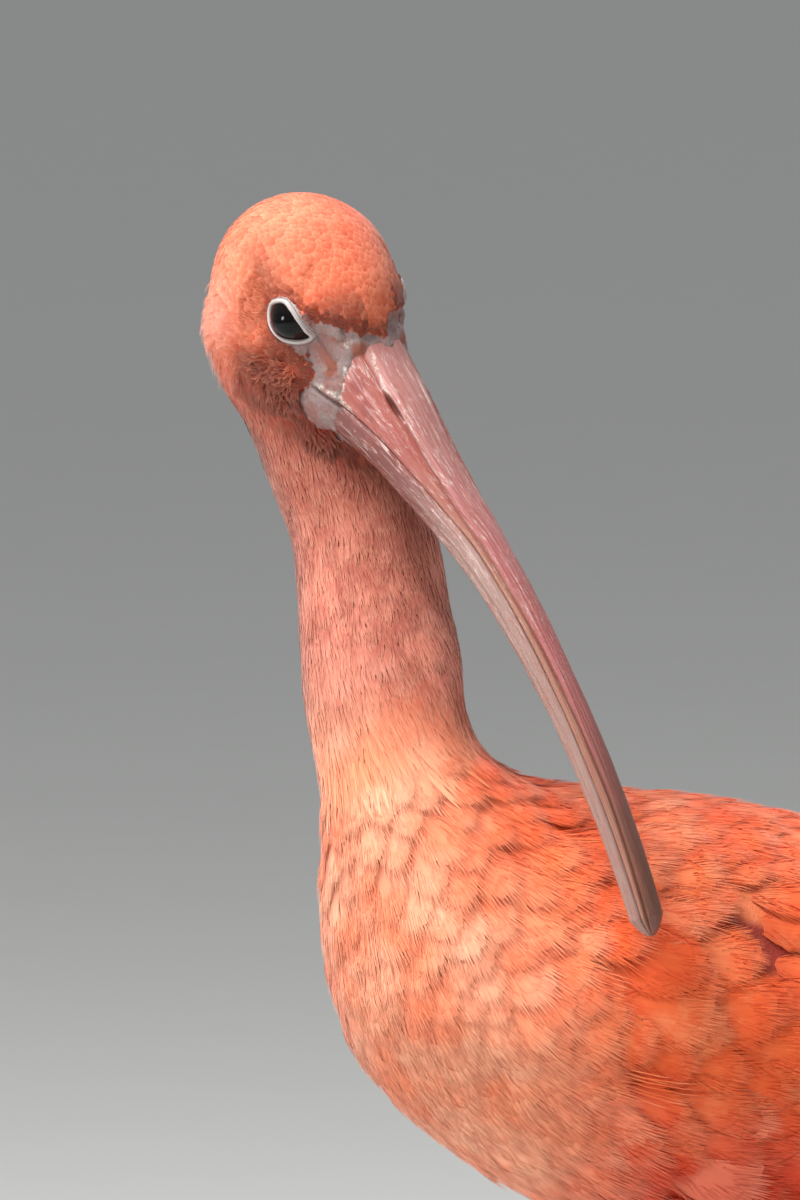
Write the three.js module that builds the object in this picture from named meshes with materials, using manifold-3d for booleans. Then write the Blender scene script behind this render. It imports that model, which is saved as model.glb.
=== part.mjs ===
// Scarlet ibis, life size, standing at rest with its head turned back over its left shoulder.
// Millimetres. x runs to the bird's left, y to its tail and z up from the floor.

import * as THREE from "three";
import { mergeVertices } from "three/addons/utils/BufferGeometryUtils.js";
import Module from "manifold-3d";

const wasm = await Module();
wasm.setup();

// Driving dimensions

const GAP = 0.3; // between neighbouring pieces
const SLIVER = 0.1; // detail finer than this is dropped
const SIDES = { left: 1, right: -1 };

const BODY_HALF_WIDTH = 53;
const BODY_TOP = 288; // height of the back between the shoulders
const BODY_BOTTOM = 171; // height of the belly
const RUMP_Y = 199;
const NECK_RADIUS = 16.8;
const NECK_BASE = new THREE.Vector3(-2.5, -1, 309);
const NECK_MIDDLE = new THREE.Vector3(-12.5, -2.4, 342.5);
const NECK_TOP = new THREE.Vector3(-20.5, -12.4, 374.6);

const HEAD_CENTRE = new THREE.Vector3(-2.2, -11.2, 396.2); // midway between the eyes
const HEAD_TURN = 121.4; // degrees to the left of straight ahead
const HEAD_DIP = 36.7; // degrees that the bill's base points below level
const HEAD_ROLL = 11.4; // degrees that the crown leans to the bird's right

const HEAD_BACK = -34.5; // in the head's frame
const HEAD_FRONT = 18.5; // the feathered and bare face ends round the bill here
const HEAD_SQUARENESS = 0.92; // 1 is an oval slice, less fills out the cheeks

const EYE_RADIUS = 6.4;
const EYE = { x: -1, out: 11.6, z: 0.1 }; // centre of the left eye in the head's frame
const EYE_AHEAD = 18; // degrees that an eye faces forward of straight out
const EYE_OPENING = { length: 12.2, height: 9.6 };
const LID_THICKNESS = 0.7;

const BILL_BASE = { x: 13.2, z: -12 }; // in the head's frame
const BILL_START = -8; // along the bill's middle line, inside the face
const BILL_LENGTH = 148;
const BILL_BEND = THREE.MathUtils.degToRad(38.8);
const GROOVE_DEPTH = 0.7; // of the groove that runs from each nostril down the bill
const NOSTRIL = { along: 16, length: 5.6, width: 1.4, angle: 50, dip: 0.24 }; // angle round from level
const MOUTH_CORNER = { length: 9, width: 0.5 };

const LEG_X = 29;
const FOOT_Y = 92;
const HOCK_Z = 97;
const TOE_RADIUS = 2.45;
const TOES = [
  { name: "inner", turn: -33, length: 48 },
  { name: "middle", turn: 2, length: 65 },
  { name: "outer", turn: 37, length: 52 },
  { name: "hind", turn: 172, length: 26 },
];
const CLAW_LENGTH = 8;
const TOE_ROOT = 4; // where a toe starts, inside the foot's pad
const SOLE_DEPTH = 0.35; // how far the round toe is worn flat where it meets the floor

const WING_FRONT_Y = -3;
const WING_BASE_LENGTH = 190;
const WING_TOP_ANGLE = 85; // degrees above level, seen from the tail
const WING_LOW_ANGLE = -30;
const WING_DEPTH = 9;
const TAIL_LENGTH = 82; // from the rump to the tips
const TAIL_DROOP = 17; // degrees below level

// Materials

const colours = {
  feather: new THREE.MeshStandardMaterial({ color: 0xe2482a, roughness: 0.85, metalness: 0 }),
  crown: new THREE.MeshStandardMaterial({ color: 0xe8673c, roughness: 0.85, metalness: 0 }),
  quill: new THREE.MeshStandardMaterial({ color: 0xc9301c, roughness: 0.8, metalness: 0 }),
  bill: new THREE.MeshStandardMaterial({ color: 0xb98078, roughness: 0.55, metalness: 0 }),
  mandible: new THREE.MeshStandardMaterial({ color: 0xc79a90, roughness: 0.55, metalness: 0 }),
  eye: new THREE.MeshStandardMaterial({ color: 0x0d0a0a, roughness: 0.1, metalness: 0 }),
  leg: new THREE.MeshStandardMaterial({ color: 0xc4675a, roughness: 0.6, metalness: 0 }),
  claw: new THREE.MeshStandardMaterial({ color: 0x2c2422, roughness: 0.5, metalness: 0 }),
};

// Shapes shared by the pieces

const radians = THREE.MathUtils.degToRad;
const mix = THREE.MathUtils.lerp;

// A smooth line through pairs of place and size.
function through(...pairs) {
  const slope = (i) => {
    const before = pairs[Math.max(i - 1, 0)];
    const after = pairs[Math.min(i + 1, pairs.length - 1)];
    return (after[1] - before[1]) / (after[0] - before[0]);
  };
  return (place) => {
    const x = THREE.MathUtils.clamp(place, pairs[0][0], pairs.at(-1)[0]);
    const i = Math.max(1, pairs.findIndex((pair) => pair[0] >= x));
    const [x0, y0] = pairs[i - 1];
    const [x1, y1] = pairs[i];
    const width = x1 - x0;
    const t = (x - x0) / width;
    const rise = t * t * (3 - 2 * t);
    const leave = t * (1 - t) * (1 - t) * width * slope(i - 1);
    const arrive = t * t * (1 - t) * width * slope(i);
    return mix(y0, y1, rise) + leave - arrive;
  };
}

// The same run of numbers every time, each from -1 to 1.
function seeded(seed) {
  let state = seed;
  return () => {
    state = (state * 16807) % 2147483647;
    return (state / 2147483647) * 2 - 1;
  };
}

function solidOf(geometry) {
  geometry.deleteAttribute("normal");
  geometry.deleteAttribute("uv");
  const merged = mergeVertices(geometry);
  const vertProperties = merged.getAttribute("position").array;
  const triVerts = new Uint32Array(merged.index.array);
  const solid = new wasm.Manifold(new wasm.Mesh({ numProp: 3, vertProperties, triVerts }));
  if (solid.volume() > 0) return solid;
  triVerts.reverse();
  return new wasm.Manifold(new wasm.Mesh({ numProp: 3, vertProperties, triVerts }));
}

// A closed form from pole to pole. place gives a point for a share of a turn and of the length.
function swept(around, along, place) {
  const sphere = new THREE.SphereGeometry(1, around, along);
  const uv = sphere.getAttribute("uv");
  const position = sphere.getAttribute("position");
  for (let i = 0; i < position.count; i++) {
    const share = Math.round((1 - uv.getY(i)) * along) / along;
    const turn = share === 0 || share === 1 ? 0 : uv.getX(i) % 1;
    position.setXYZ(i, ...place(turn, share).toArray());
  }
  return solidOf(sphere);
}

function ellipsoid(centre, radii, around = 20, along = 12) {
  const sphere = new THREE.SphereGeometry(1, around, along);
  sphere.scale(...radii).translate(...centre);
  return solidOf(sphere);
}

// A round bar along a curve, with its radius at each share of the length, closed by round ends.
function bar(points, radiusAt, around, along, grow = 0) {
  const curve = new THREE.CatmullRomCurve3(points);
  const frames = curve.computeFrenetFrames(along);
  return swept(around, along, (turn, share) => {
    const row = Math.round(share * along);
    const swell = Math.sin(Math.PI * share) ** 0.25;
    const radius = share === 0 || share === 1 ? 0 : (radiusAt(share) + grow) * swell;
    const angle = turn * 2 * Math.PI;
    return curve
      .getPoint(share)
      .addScaledVector(frames.normals[row], radius * Math.cos(angle))
      .addScaledVector(frames.binormals[row], radius * Math.sin(angle));
  });
}

// A thin plate over a grid. place gives the middle point and its normal for shares across and along.
// Both faces are split into triangles alike, so they can't cross where the plate bends.
function plate(across, along, place, thicknessAt) {
  const grid = new THREE.PlaneGeometry(1, 1, across, along);
  const flat = grid.getAttribute("position");
  const count = flat.count;
  const positions = [];
  for (const face of [1, -1]) {
    for (let i = 0; i < count; i++) {
      const share = 0.5 - flat.getY(i);
      const { point, normal } = place(flat.getX(i) * 2, share);
      positions.push(...point.addScaledVector(normal, (face * thicknessAt(share)) / 2).toArray());
    }
  }
  const upper = Array.from(grid.index.array);
  const lower = upper.toReversed().map((i) => i + count);
  const rim = [];
  const row = across + 1;
  const border = [];
  for (let i = 0; i < across; i++) border.push(i);
  for (let j = 0; j < along; j++) border.push(j * row + across);
  for (let i = across; i > 0; i--) border.push(along * row + i);
  for (let j = along; j > 0; j--) border.push(j * row);
  border.forEach((a, i) => {
    const b = border[(i + 1) % border.length];
    rim.push(a, b, b + count, a, b + count, a + count);
  });
  const geometry = new THREE.BufferGeometry();
  geometry.setAttribute("position", new THREE.Float32BufferAttribute(positions, 3));
  geometry.setIndex([...upper, ...lower, ...rim]);
  return solidOf(geometry);
}

// A feather vane whose middle line follows track(share), which gives a point and a normal.
// It keeps its width for most of its length, then closes to a round tip.
function vane(track, { width, root, tip, tilt = 0, rows = 3 }) {
  const step = 0.02;
  return plate(
    1,
    rows,
    (side, share) => {
      const { point, normal } = track(share);
      const ahead = track(share + step).point.sub(track(share - step).point).normalize();
      const sideways = new THREE.Vector3().crossVectors(normal, ahead).normalize();
      const closing = share < 0.6 ? 1 : Math.sqrt(1 - ((share - 0.6) / 0.42) ** 2);
      const opening = mix(0.45, 1, Math.min(1, share * 2.5));
      const half = (width / 2) * closing * opening;
      point.addScaledVector(sideways, side * half * Math.cos(tilt));
      point.addScaledVector(normal, side * half * Math.sin(tilt));
      return { point, normal: normal.clone() };
    },
    (share) => mix(root, tip, share),
  );
}

function joined(solids) {
  return largest(wasm.Manifold.union(solids));
}

function largest(solid) {
  const bodies = solid.decompose();
  return bodies.reduce((best, body) => (body.volume() > best.volume() ? body : best));
}

function meshOf(name, solid, material) {
  const { vertProperties, triVerts } = largest(solid).simplify(SLIVER).getMesh();
  const geometry = new THREE.BufferGeometry();
  geometry.setAttribute("position", new THREE.Float32BufferAttribute(vertProperties, 3));
  geometry.setIndex(Array.from(triVerts));
  geometry.computeVertexNormals();
  const mesh = new THREE.Mesh(geometry, material);
  mesh.name = name;
  return mesh;
}

// Trunk and neck, one form from rump to head that thin cuts divide

// Each station is a slice between a point on the back and one on the belly, with its half width.
function trunkStations(grow) {
  const slice = (topY, topZ, bottomY, bottomZ, half) => ({
    top: new THREE.Vector3(0, topY, topZ),
    bottom: new THREE.Vector3(0, bottomY, bottomZ),
    half,
  });
  const ring = (centre, backY, backZ, half) => ({
    top: new THREE.Vector3(centre.x, centre.y + backY, centre.z + backZ),
    bottom: new THREE.Vector3(centre.x, centre.y - backY, centre.z - backZ),
    half,
  });
  const end = (x, y, z) => ({
    top: new THREE.Vector3(x, y, z),
    bottom: new THREE.Vector3(x, y, z),
    half: 0,
  });
  const wide = BODY_HALF_WIDTH;
  return [
    end(0, RUMP_Y + grow, 228),
    slice(RUMP_Y - 12, 243, RUMP_Y - 14, 208, wide * 0.36),
    slice(162, 256, 160, 187, wide * 0.66),
    slice(122, 272, 122, BODY_BOTTOM + 1, wide * 0.92),
    slice(82, 283, 85, BODY_BOTTOM, wide),
    slice(47, BODY_TOP, 48, 182, wide),
    slice(30, 291, 16, 201, wide * 0.92),
    slice(22, 298, -3.5, 226, wide * 0.74),
    slice(17.5, 306, -12, 249, wide * 0.56),
    slice(16.5, 314, -16, 273, wide * 0.44),
    ring(NECK_BASE, 17.3, 11, NECK_RADIUS * 1.17),
    ring(NECK_BASE.clone().lerp(NECK_MIDDLE, 0.5), 17, 3.5, NECK_RADIUS * 1.03),
    ring(NECK_MIDDLE, NECK_RADIUS, 0.5, NECK_RADIUS),
    ring(NECK_MIDDLE.clone().lerp(NECK_TOP, 0.5), 16.4, 3, NECK_RADIUS),
    ring(NECK_TOP, 15.5, 6, NECK_RADIUS * 0.96),
    ring(NECK_TOP.clone().add(new THREE.Vector3(-2, -7, 15)), 14, 9, NECK_RADIUS * 0.92),
    end(-18, -22, 405 + grow),
  ];
}

function trunkForm(grow = 0) {
  const stations = trunkStations(grow);
  const tops = new THREE.CatmullRomCurve3(stations.map((s) => s.top), false, "catmullrom", 0.4);
  const bottoms = new THREE.CatmullRomCurve3(stations.map((s) => s.bottom), false, "catmullrom", 0.4);
  const halves = through(...stations.map((s, i) => [i / (stations.length - 1), s.half]));
  return swept(22, 36, (turn, share) => {
    const top = tops.getPoint(share);
    const bottom = bottoms.getPoint(share);
    const middle = top.clone().add(bottom).multiplyScalar(0.5);
    const up = top.clone().sub(middle);
    if (share === 0 || share === 1) return middle;
    up.setLength(up.length() + grow);
    const angle = turn * 2 * Math.PI;
    const half = halves(share) + grow;
    middle.addScaledVector(up, Math.cos(angle));
    middle.x += half * Math.sin(angle);
    return middle;
  });
}

// Wings and tail: overlapping vanes, rooted in a shell that hugs the trunk

// The outer surface of the folded left wing, as an oval round the body at each y.
const wingHeight = through([-12, 240], [45, 236], [100, 229], [160, 225], [200, 224], [282, 216]);
const wingHalfWidth = through([-12, 38], [10, 52], [45, 60], [90, 61], [130, 57], [190, 41], [282, 13]);
const wingHalfHeight = through([-12, 34], [10, 45], [45, 52], [90, 52], [130, 46], [190, 27], [282, 10]);

function wingSurface(y, degrees, lift) {
  const angle = radians(degrees);
  const width = wingHalfWidth(y);
  const height = wingHalfHeight(y);
  const normal = new THREE.Vector3(Math.cos(angle) / width, 0, Math.sin(angle) / height).normalize();
  const point = new THREE.Vector3(width * Math.cos(angle), y, wingHeight(y) + height * Math.sin(angle));
  return { point: point.addScaledVector(normal, lift), normal };
}

function wingShell() {
  const middle = (WING_TOP_ANGLE + WING_LOW_ANGLE) / 2;
  const spread = (WING_TOP_ANGLE - WING_LOW_ANGLE) / 2;
  return swept(14, 11, (turn, share) => {
    const swell = Math.sin(Math.PI * share) ** 0.8;
    const outer = turn < 0.5;
    const across = outer ? 1 - 4 * turn : 4 * turn - 3;
    const crest = Math.sqrt(Math.max(0, 1 - across * across));
    const lift = outer ? -1.6 : -1.6 - WING_DEPTH * Math.max(crest, 0.15);
    const y = WING_FRONT_Y + (WING_BASE_LENGTH * (1 - Math.cos(Math.PI * share))) / 2;
    const atPole = share === 0 || share === 1;
    const size = atPole ? 0 : swell;
    return wingSurface(y, middle + across * spread * size, lift * size).point;
  });
}

// Rows of vanes from the shoulder back, each row over the roots of the next.
const WING_ROWS = [
  { y: 2, length: 38, count: 4, low: -20, high: 58, width: 24, lift: 2.6 },
  { y: 25, length: 44, count: 5, low: -20, high: 78, width: 25, lift: 2.6 },
  { y: 50, length: 50, count: 5, low: -22, high: 84, width: 27, lift: 2.4 },
  { y: 80, length: 58, count: 5, low: -22, high: 84, width: 27, lift: 2.1 },
  { y: 112, length: 118, count: 3, low: 22, high: 84, width: 30, lift: 1.5 },
  { y: 112, length: 92, count: 3, low: -24, high: 22, width: 26, lift: 0.6 },
];
const PRIMARIES = { count: 5, y: 146, shortest: 88, step: 10, low: -16, high: 6, width: 20, climb: 22 };

// How high a vane lies over the shell: it comes out of it soon after the root, then rises to the tip.
function vaneLift(share, tipLift) {
  return share < 0.25 ? mix(-2.8, -0.4, share * 4) : mix(-0.4, tipLift, (share - 0.25) / 0.75);
}

function wingVanes(random) {
  const vanes = [];
  for (const row of WING_ROWS) {
    for (let i = 0; i < row.count; i++) {
      const angle = mix(row.low, row.high, (i + 0.5) / row.count);
      const length = row.length * (1 + random() * 0.06);
      const start = row.y + random();
      const track = (t) => wingSurface(start + length * t, angle, vaneLift(t, row.lift));
      vanes.push(vane(track, { width: row.width, root: 1.1, tip: 0.7, tilt: radians(-6) }));
    }
  }
  for (let i = 0; i < PRIMARIES.count; i++) {
    const share = i / (PRIMARIES.count - 1);
    const angle = mix(PRIMARIES.low, PRIMARIES.high, share);
    const length = PRIMARIES.shortest + PRIMARIES.step * i;
    const lift = -1.4 - 1.4 * share;
    const track = (t) => wingSurface(PRIMARIES.y + length * t, angle + PRIMARIES.climb * t, lift);
    vanes.push(vane(track, { width: PRIMARIES.width, root: 1, tip: 0.6, rows: 4 }));
  }
  return vanes;
}

function wing(side, trunkCutter) {
  const random = seeded(side === "left" ? 11 : 29);
  const left = joined([wingShell(), ...wingVanes(random)]);
  const half = left.trimByPlane([1, 0, 0], GAP / 2);
  const placed = side === "left" ? half : half.mirror([1, 0, 0]);
  return placed.subtract(trunkCutter);
}

// The tail's frame has y along the feathers, from the rump to the tips.
function tailSolid(trunkCutter) {
  const place = new THREE.Matrix4()
    .makeRotationX(radians(-TAIL_DROOP))
    .setPosition(0, RUMP_Y - 6, 228);
  const stub = swept(12, 8, (turn, share) => {
    const swell = Math.sin(Math.PI * share) ** 0.5 * mix(1, 0.75, share);
    const angle = turn * 2 * Math.PI;
    return new THREE.Vector3(17 * swell * Math.cos(angle), 40 * share - 6, 8.5 * swell * Math.sin(angle));
  });
  const solids = [stub];
  const pairs = 6;
  for (let i = 0; i < pairs; i++) {
    for (const side of [1, -1]) {
      const turn = radians(side * (1.6 + 2.1 * i));
      const length = TAIL_LENGTH - 1.3 * i;
      const height = 3 - 1.15 * i - (side < 0 ? 0.45 : 0);
      const track = (t) => ({
        point: new THREE.Vector3(
          side * (1.5 + 1.1 * i) + Math.sin(turn) * length * t,
          6 + Math.cos(turn) * length * t,
          height * mix(1, 0.9, t),
        ),
        normal: new THREE.Vector3(0, 0, 1),
      });
      solids.push(vane(track, { width: 17, root: 0.7, tip: 0.55 }));
    }
  }
  // Coverts above and below the roots
  for (const face of [1, -1]) {
    for (let i = -1; i <= 1; i++) {
      const length = 46 - 5 * Math.abs(i);
      const track = (t) => ({
        point: new THREE.Vector3(i * mix(8, 10, t), 4 + length * t, face * mix(6.5, 5, t)),
        normal: new THREE.Vector3(0, 0, 1),
      });
      solids.push(vane(track, { width: 15, root: 1.2, tip: 0.7 }));
    }
  }
  return joined(solids).transform(place.elements).subtract(trunkCutter);
}

// Head, in its own frame: x forward, y to the head's left, z up, from midway between the eyes

const headTop = through(
  [-34.5, -3],
  [-31, 7.5],
  [-23, 14.8],
  [-12, 18.3],
  [-2, 17.4],
  [6, 13.6],
  [13, 6.5],
  [20, -1],
);
const headBottom = through(
  [-34.5, -6],
  [-31, -16],
  [-23, -25],
  [-12, -27.5],
  [0, -27],
  [13, -25],
  [20, -21],
);
const headHalf = through(
  [-34.5, 4],
  [-31, 11],
  [-23, 17],
  [-13, 19.4],
  [-5, 18],
  [2, 15.2],
  [9, 12.8],
  [20, 10.8],
);

function headForm(grow = 0) {
  const middle = (HEAD_BACK + HEAD_FRONT) / 2;
  const reach = (HEAD_FRONT - HEAD_BACK) / 2;
  return swept(22, 17, (turn, share) => {
    const x = middle - Math.cos(Math.PI * share) * reach;
    const top = headTop(x);
    const bottom = headBottom(x);
    const centre = (top + bottom) / 2;
    const close = Math.min(1, ((HEAD_FRONT - x) / 4) ** 0.5);
    const open = Math.min(1, ((x - HEAD_BACK) / 2) ** 0.5);
    const size = Math.min(close, open);
    const angle = turn * 2 * Math.PI;
    const half = (headHalf(x) + grow) * size;
    const tall = ((top - bottom) / 2 + grow) * size;
    const squared = (value) => Math.sign(value) * Math.abs(value) ** HEAD_SQUARENESS;
    return new THREE.Vector3(
      x + (grow * (x - middle)) / reach,
      half * squared(Math.cos(angle)),
      centre + tall * squared(Math.sin(angle)),
    );
  });
}

function eyeCentre(side) {
  return [EYE.x, side * EYE.out, EYE.z];
}

// The opening between the lids, rounder behind and pointed in front, cut straight out from the eye.
function eyeOpening(side) {
  const { length, height } = EYE_OPENING;
  const back = -length * 0.48;
  const front = length * 0.58;
  const almond = new THREE.Shape();
  almond.moveTo(front, -height * 0.08);
  almond.bezierCurveTo(front * 0.5, height * 0.62, back, height * 0.62, back, 0);
  almond.bezierCurveTo(back, -height * 0.58, front * 0.4, -height * 0.62, front, -height * 0.08);
  const prism = new THREE.ExtrudeGeometry(almond, { depth: 14, bevelEnabled: false, curveSegments: 5 });
  prism.rotateX(Math.PI / 2);
  if (side > 0) prism.translate(0, 14, 0);
  prism.rotateZ(-side * radians(EYE_AHEAD));
  prism.translate(...eyeCentre(side));
  return solidOf(prism);
}

function eyeball(side, grow = 0) {
  const radius = EYE_RADIUS + grow;
  return ellipsoid(eyeCentre(side), [radius, radius, radius], 14, 8);
}

// A point on the bill: s along its middle line from the base, then out to the left and up.
function billPoint(s, left, up) {
  const bend = BILL_BEND / BILL_LENGTH;
  const angle = bend * s;
  return new THREE.Vector3(
    BILL_BASE.x + Math.sin(angle) / bend + up * Math.sin(angle),
    left,
    BILL_BASE.z - (1 - Math.cos(angle)) / bend + up * Math.cos(angle),
  );
}

// Depth of the bill over and under its middle line, and its half width, at each distance from the base
const billUp = through(
  [-8, 18],
  [0, 17],
  [8, 14.2],
  [17, 11.6],
  [30, 7.6],
  [42, 5.8],
  [66, 5],
  [92, 4.3],
  [120, 4],
  [148, 3.6],
);
const billDown = through(
  [-8, 11],
  [0, 11],
  [17, 9.3],
  [30, 8.8],
  [42, 7.4],
  [56, 5.8],
  [92, 4.4],
  [120, 4],
  [148, 3.6],
);
const billHalf = through(
  [-8, 12],
  [0, 11.4],
  [17, 9.2],
  [30, 7.7],
  [42, 6.6],
  [66, 5.3],
  [92, 4.5],
  [120, 4.2],
  [148, 3.9],
);
const mouthHeight = through([-8, 1], [0, 1.3], [17, 3.2], [40, 2.2], [92, 1.4], [148, 1]);

function billForm(grow = 0) {
  return swept(18, 19, (turn, share) => {
    const s = mix(BILL_START, BILL_LENGTH, (1 - Math.cos(Math.PI * share)) / 2);
    if (share === 0 || share === 1) return billPoint(s, 0, 0);
    const rounding = Math.sqrt(Math.min(1, (BILL_LENGTH - s) / 5));
    const angle = turn * 2 * Math.PI;
    const sine = Math.sin(angle);
    const degrees = THREE.MathUtils.radToDeg(Math.asin(sine));
    const groove = GROOVE_DEPTH * Math.exp(-(((degrees - NOSTRIL.angle) / 8) ** 2));
    const reach = sine > 0 ? billUp(s) : billDown(s);
    const left = (billHalf(s) - groove + grow) * Math.cos(angle) * rounding;
    return billPoint(s, left, (reach - groove + grow) * sine * rounding);
  });
}

// All that lies on one side of the mouth line, as far as any part of the bill.
function jawSide(side) {
  const depth = 24;
  return plate(
    1,
    20,
    (across, share) => {
      const s = mix(BILL_START - 4, BILL_LENGTH + 4, share);
      const level = mouthHeight(s) + (side * (GAP + depth)) / 2;
      const point = billPoint(s, across * depth, level);
      return { point, normal: billPoint(s, 0, 1).sub(billPoint(s, 0, 0)) };
    },
    () => depth,
  );
}

// A slit along the groove beside the ridge of the bill.
function nostril(side) {
  const angle = radians(NOSTRIL.angle);
  const left = side * billHalf(NOSTRIL.along) * Math.cos(angle);
  const up = billUp(NOSTRIL.along) * Math.sin(angle);
  const centre = billPoint(NOSTRIL.along, left, up);
  const slit = new THREE.SphereGeometry(1, 12, 8);
  slit.scale(NOSTRIL.length / 2, 2, NOSTRIL.width / 2);
  slit.rotateX(side * radians(NOSTRIL.angle));
  slit.rotateY((BILL_BEND / BILL_LENGTH) * NOSTRIL.along + NOSTRIL.dip);
  slit.translate(...centre.toArray());
  return solidOf(slit);
}

// The line of the mouth runs on a little way into the face.
function mouthCorner() {
  const line = new THREE.BoxGeometry(MOUTH_CORNER.length, 40, MOUTH_CORNER.width);
  const { x, z } = billPoint(0, 0, mouthHeight(0));
  line.translate(x + MOUTH_CORNER.length / 2 - 3, 0, z);
  return solidOf(line);
}

function headSolid() {
  let head = headForm();
  const lid = EYE_RADIUS + GAP + LID_THICKNESS;
  for (const side of [1, -1]) {
    head = head.add(ellipsoid(eyeCentre(side), [lid, lid, lid], 14, 8));
  }
  for (const side of [1, -1]) {
    head = head.subtract(eyeball(side, GAP)).subtract(eyeOpening(side));
  }
  return head.subtract(mouthCorner());
}

function billSolids() {
  const bill = billForm().subtract(headForm(GAP));
  const upper = bill.intersect(jawSide(1)).subtract(nostril(1)).subtract(nostril(-1));
  const lower = bill.intersect(jawSide(-1));
  return { upper, lower };
}

// Legs and feet

function legForm(x, grow = 0) {
  const lean = Math.sign(x);
  const points = [
    [x - lean * 2, FOOT_Y - 34, 216],
    [x + lean * 2, FOOT_Y - 25, 192],
    [x + lean * 3, FOOT_Y - 14, 169],
    [x + lean * 3, FOOT_Y - 4, 148],
    [x + lean * 2, FOOT_Y + 4, 133],
    [x + lean * 1.5, FOOT_Y + 12, 115],
    [x + lean, FOOT_Y + 19, HOCK_Z],
    [x + lean, FOOT_Y + 14, HOCK_Z - 18],
    [x, FOOT_Y + 6, 45],
    [x, FOOT_Y + 1, 20],
    [x, FOOT_Y - 1, 4],
  ].map((point) => new THREE.Vector3(...point));
  const radiusAt = through(
    [0, 16],
    [0.1, 17],
    [0.2, 15],
    [0.3, 10],
    [0.38, 4.6],
    [0.46, 3.3],
    [0.55, 3.7],
    [0.6, 5.3],
    [0.66, 4.1],
    [0.75, 3.1],
    [0.9, 3.2],
    [0.97, 4.4],
    [1, 4.4],
  );
  return bar(points, radiusAt, 10, 26, grow);
}

function footPad(x, grow = 0) {
  return ellipsoid([x, FOOT_Y - 5, 3.6], [7.8 + grow, 9.8 + grow, 4.4 + grow], 10, 7);
}

function floorFlat(solid) {
  return solid.trimByPlane([0, 0, 1], 0);
}

// A toe or its claw runs out from the pad at an angle from straight ahead, outward positive.
function toePoint(x, toe, distance, height) {
  const turn = radians(toe.turn) * Math.sign(x);
  return new THREE.Vector3(
    x + Math.sin(turn) * distance,
    FOOT_Y - 5 - Math.cos(turn) * distance,
    height,
  );
}

function toeForm(x, toe) {
  const reach = toe.length - CLAW_LENGTH;
  const pads = (share) => 1 + 0.08 * Math.cos(share * 6 * Math.PI);
  const radius = (share) => mix(TOE_RADIUS, TOE_RADIUS * 0.68, share) * pads(share);
  const points = [0, 0.2, 0.4, 0.6, 0.8, 1].map((share) =>
    toePoint(x, toe, mix(TOE_ROOT, reach, share), radius(share) - SOLE_DEPTH),
  );
  return floorFlat(bar(points, radius, 7, 9)).subtract(footPad(x, GAP));
}

function clawForm(x, toe) {
  const start = toe.length - CLAW_LENGTH - 3;
  const points = [
    toePoint(x, toe, start, 2.4),
    toePoint(x, toe, start + 3.5, 2.8),
    toePoint(x, toe, start + 7, 2.4),
    toePoint(x, toe, start + 10.8, 0.5),
  ];
  return floorFlat(bar(points, (share) => mix(1.7, 0.35, share), 6, 5));
}

// Assembly

const bird = new THREE.Group();

const trunk = trunkForm();
const trunkCutter = trunkForm(GAP);
const headFrame = new THREE.Group();
headFrame.position.copy(HEAD_CENTRE);
headFrame.rotation.set(radians(HEAD_ROLL), radians(HEAD_DIP), radians(HEAD_TURN - 90), "ZYX");
headFrame.updateMatrix();
const headCutter = headForm(GAP).add(billForm(GAP)).transform(headFrame.matrix.elements);

// Cuts across the neck, square to its middle line
function cutAcross(solid, point, ahead) {
  const normal = ahead.clone().normalize();
  const place = normal.dot(point);
  const before = solid.trimByPlane(normal.clone().negate().toArray(), -(place - GAP / 2));
  const after = solid.trimByPlane(normal.toArray(), place + GAP / 2);
  return { before, after };
}

const neckFoot = cutAcross(trunk, NECK_BASE, new THREE.Vector3(-0.25, -0.35, 0.9));
const neckHalves = cutAcross(neckFoot.after, NECK_MIDDLE, NECK_TOP.clone().sub(NECK_BASE));

bird.add(meshOf("torso", neckFoot.before, colours.feather));
bird.add(meshOf("neck_lower", neckHalves.before, colours.crown));
bird.add(meshOf("neck_upper", neckHalves.after.subtract(headCutter), colours.crown));
bird.add(meshOf("tail", tailSolid(trunkCutter), colours.quill));

const { upper, lower } = billSolids();
headFrame.add(meshOf("head", headSolid(), colours.crown));
headFrame.add(meshOf("bill_upper", upper, colours.bill));
headFrame.add(meshOf("bill_lower", lower, colours.mandible));

const wings = {};
for (const [side, sign] of Object.entries(SIDES)) {
  headFrame.add(meshOf(`eye_${side}`, eyeball(sign), colours.eye));
  wings[side] = wing(side, trunkCutter);
  bird.add(meshOf(`wing_${side}`, wings[side], colours.feather));

  const x = LEG_X * sign;
  const leg = legForm(x).subtract(trunkCutter).subtract(footPad(x, GAP));
  const knee = cutAcross(leg, new THREE.Vector3(x, 0, 131), new THREE.Vector3(0, 0, -1));
  const hock = cutAcross(knee.after, new THREE.Vector3(x, 0, HOCK_Z), new THREE.Vector3(0, 0, -1));
  bird.add(meshOf(`thigh_${side}`, knee.before, colours.feather));
  bird.add(meshOf(`shank_${side}`, hock.before, colours.leg));
  bird.add(meshOf(`tarsus_${side}`, hock.after, colours.leg));
  bird.add(meshOf(`foot_${side}`, floorFlat(footPad(x)), colours.leg));
  for (const toe of TOES) {
    const claw = clawForm(x, toe);
    const toeSolid = toeForm(x, toe);
    bird.add(meshOf(`toe_${toe.name}_${side}`, toeSolid, colours.leg));
    bird.add(meshOf(`claw_${toe.name}_${side}`, claw.subtract(toeSolid), colours.claw));
  }
}
bird.add(headFrame);

// The origin is on the floor, under the middle of the whole bird.
const middle = new THREE.Box3().setFromObject(bird, true).getCenter(new THREE.Vector3());
bird.position.set(-middle.x, -middle.y, 0);

export default bird;
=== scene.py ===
"""Scarlet ibis, life size: skin, plumage, bill, eyes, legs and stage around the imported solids."""

import math

import bmesh
import bpy
import numpy as np
from mathutils import Matrix, Vector


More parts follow.
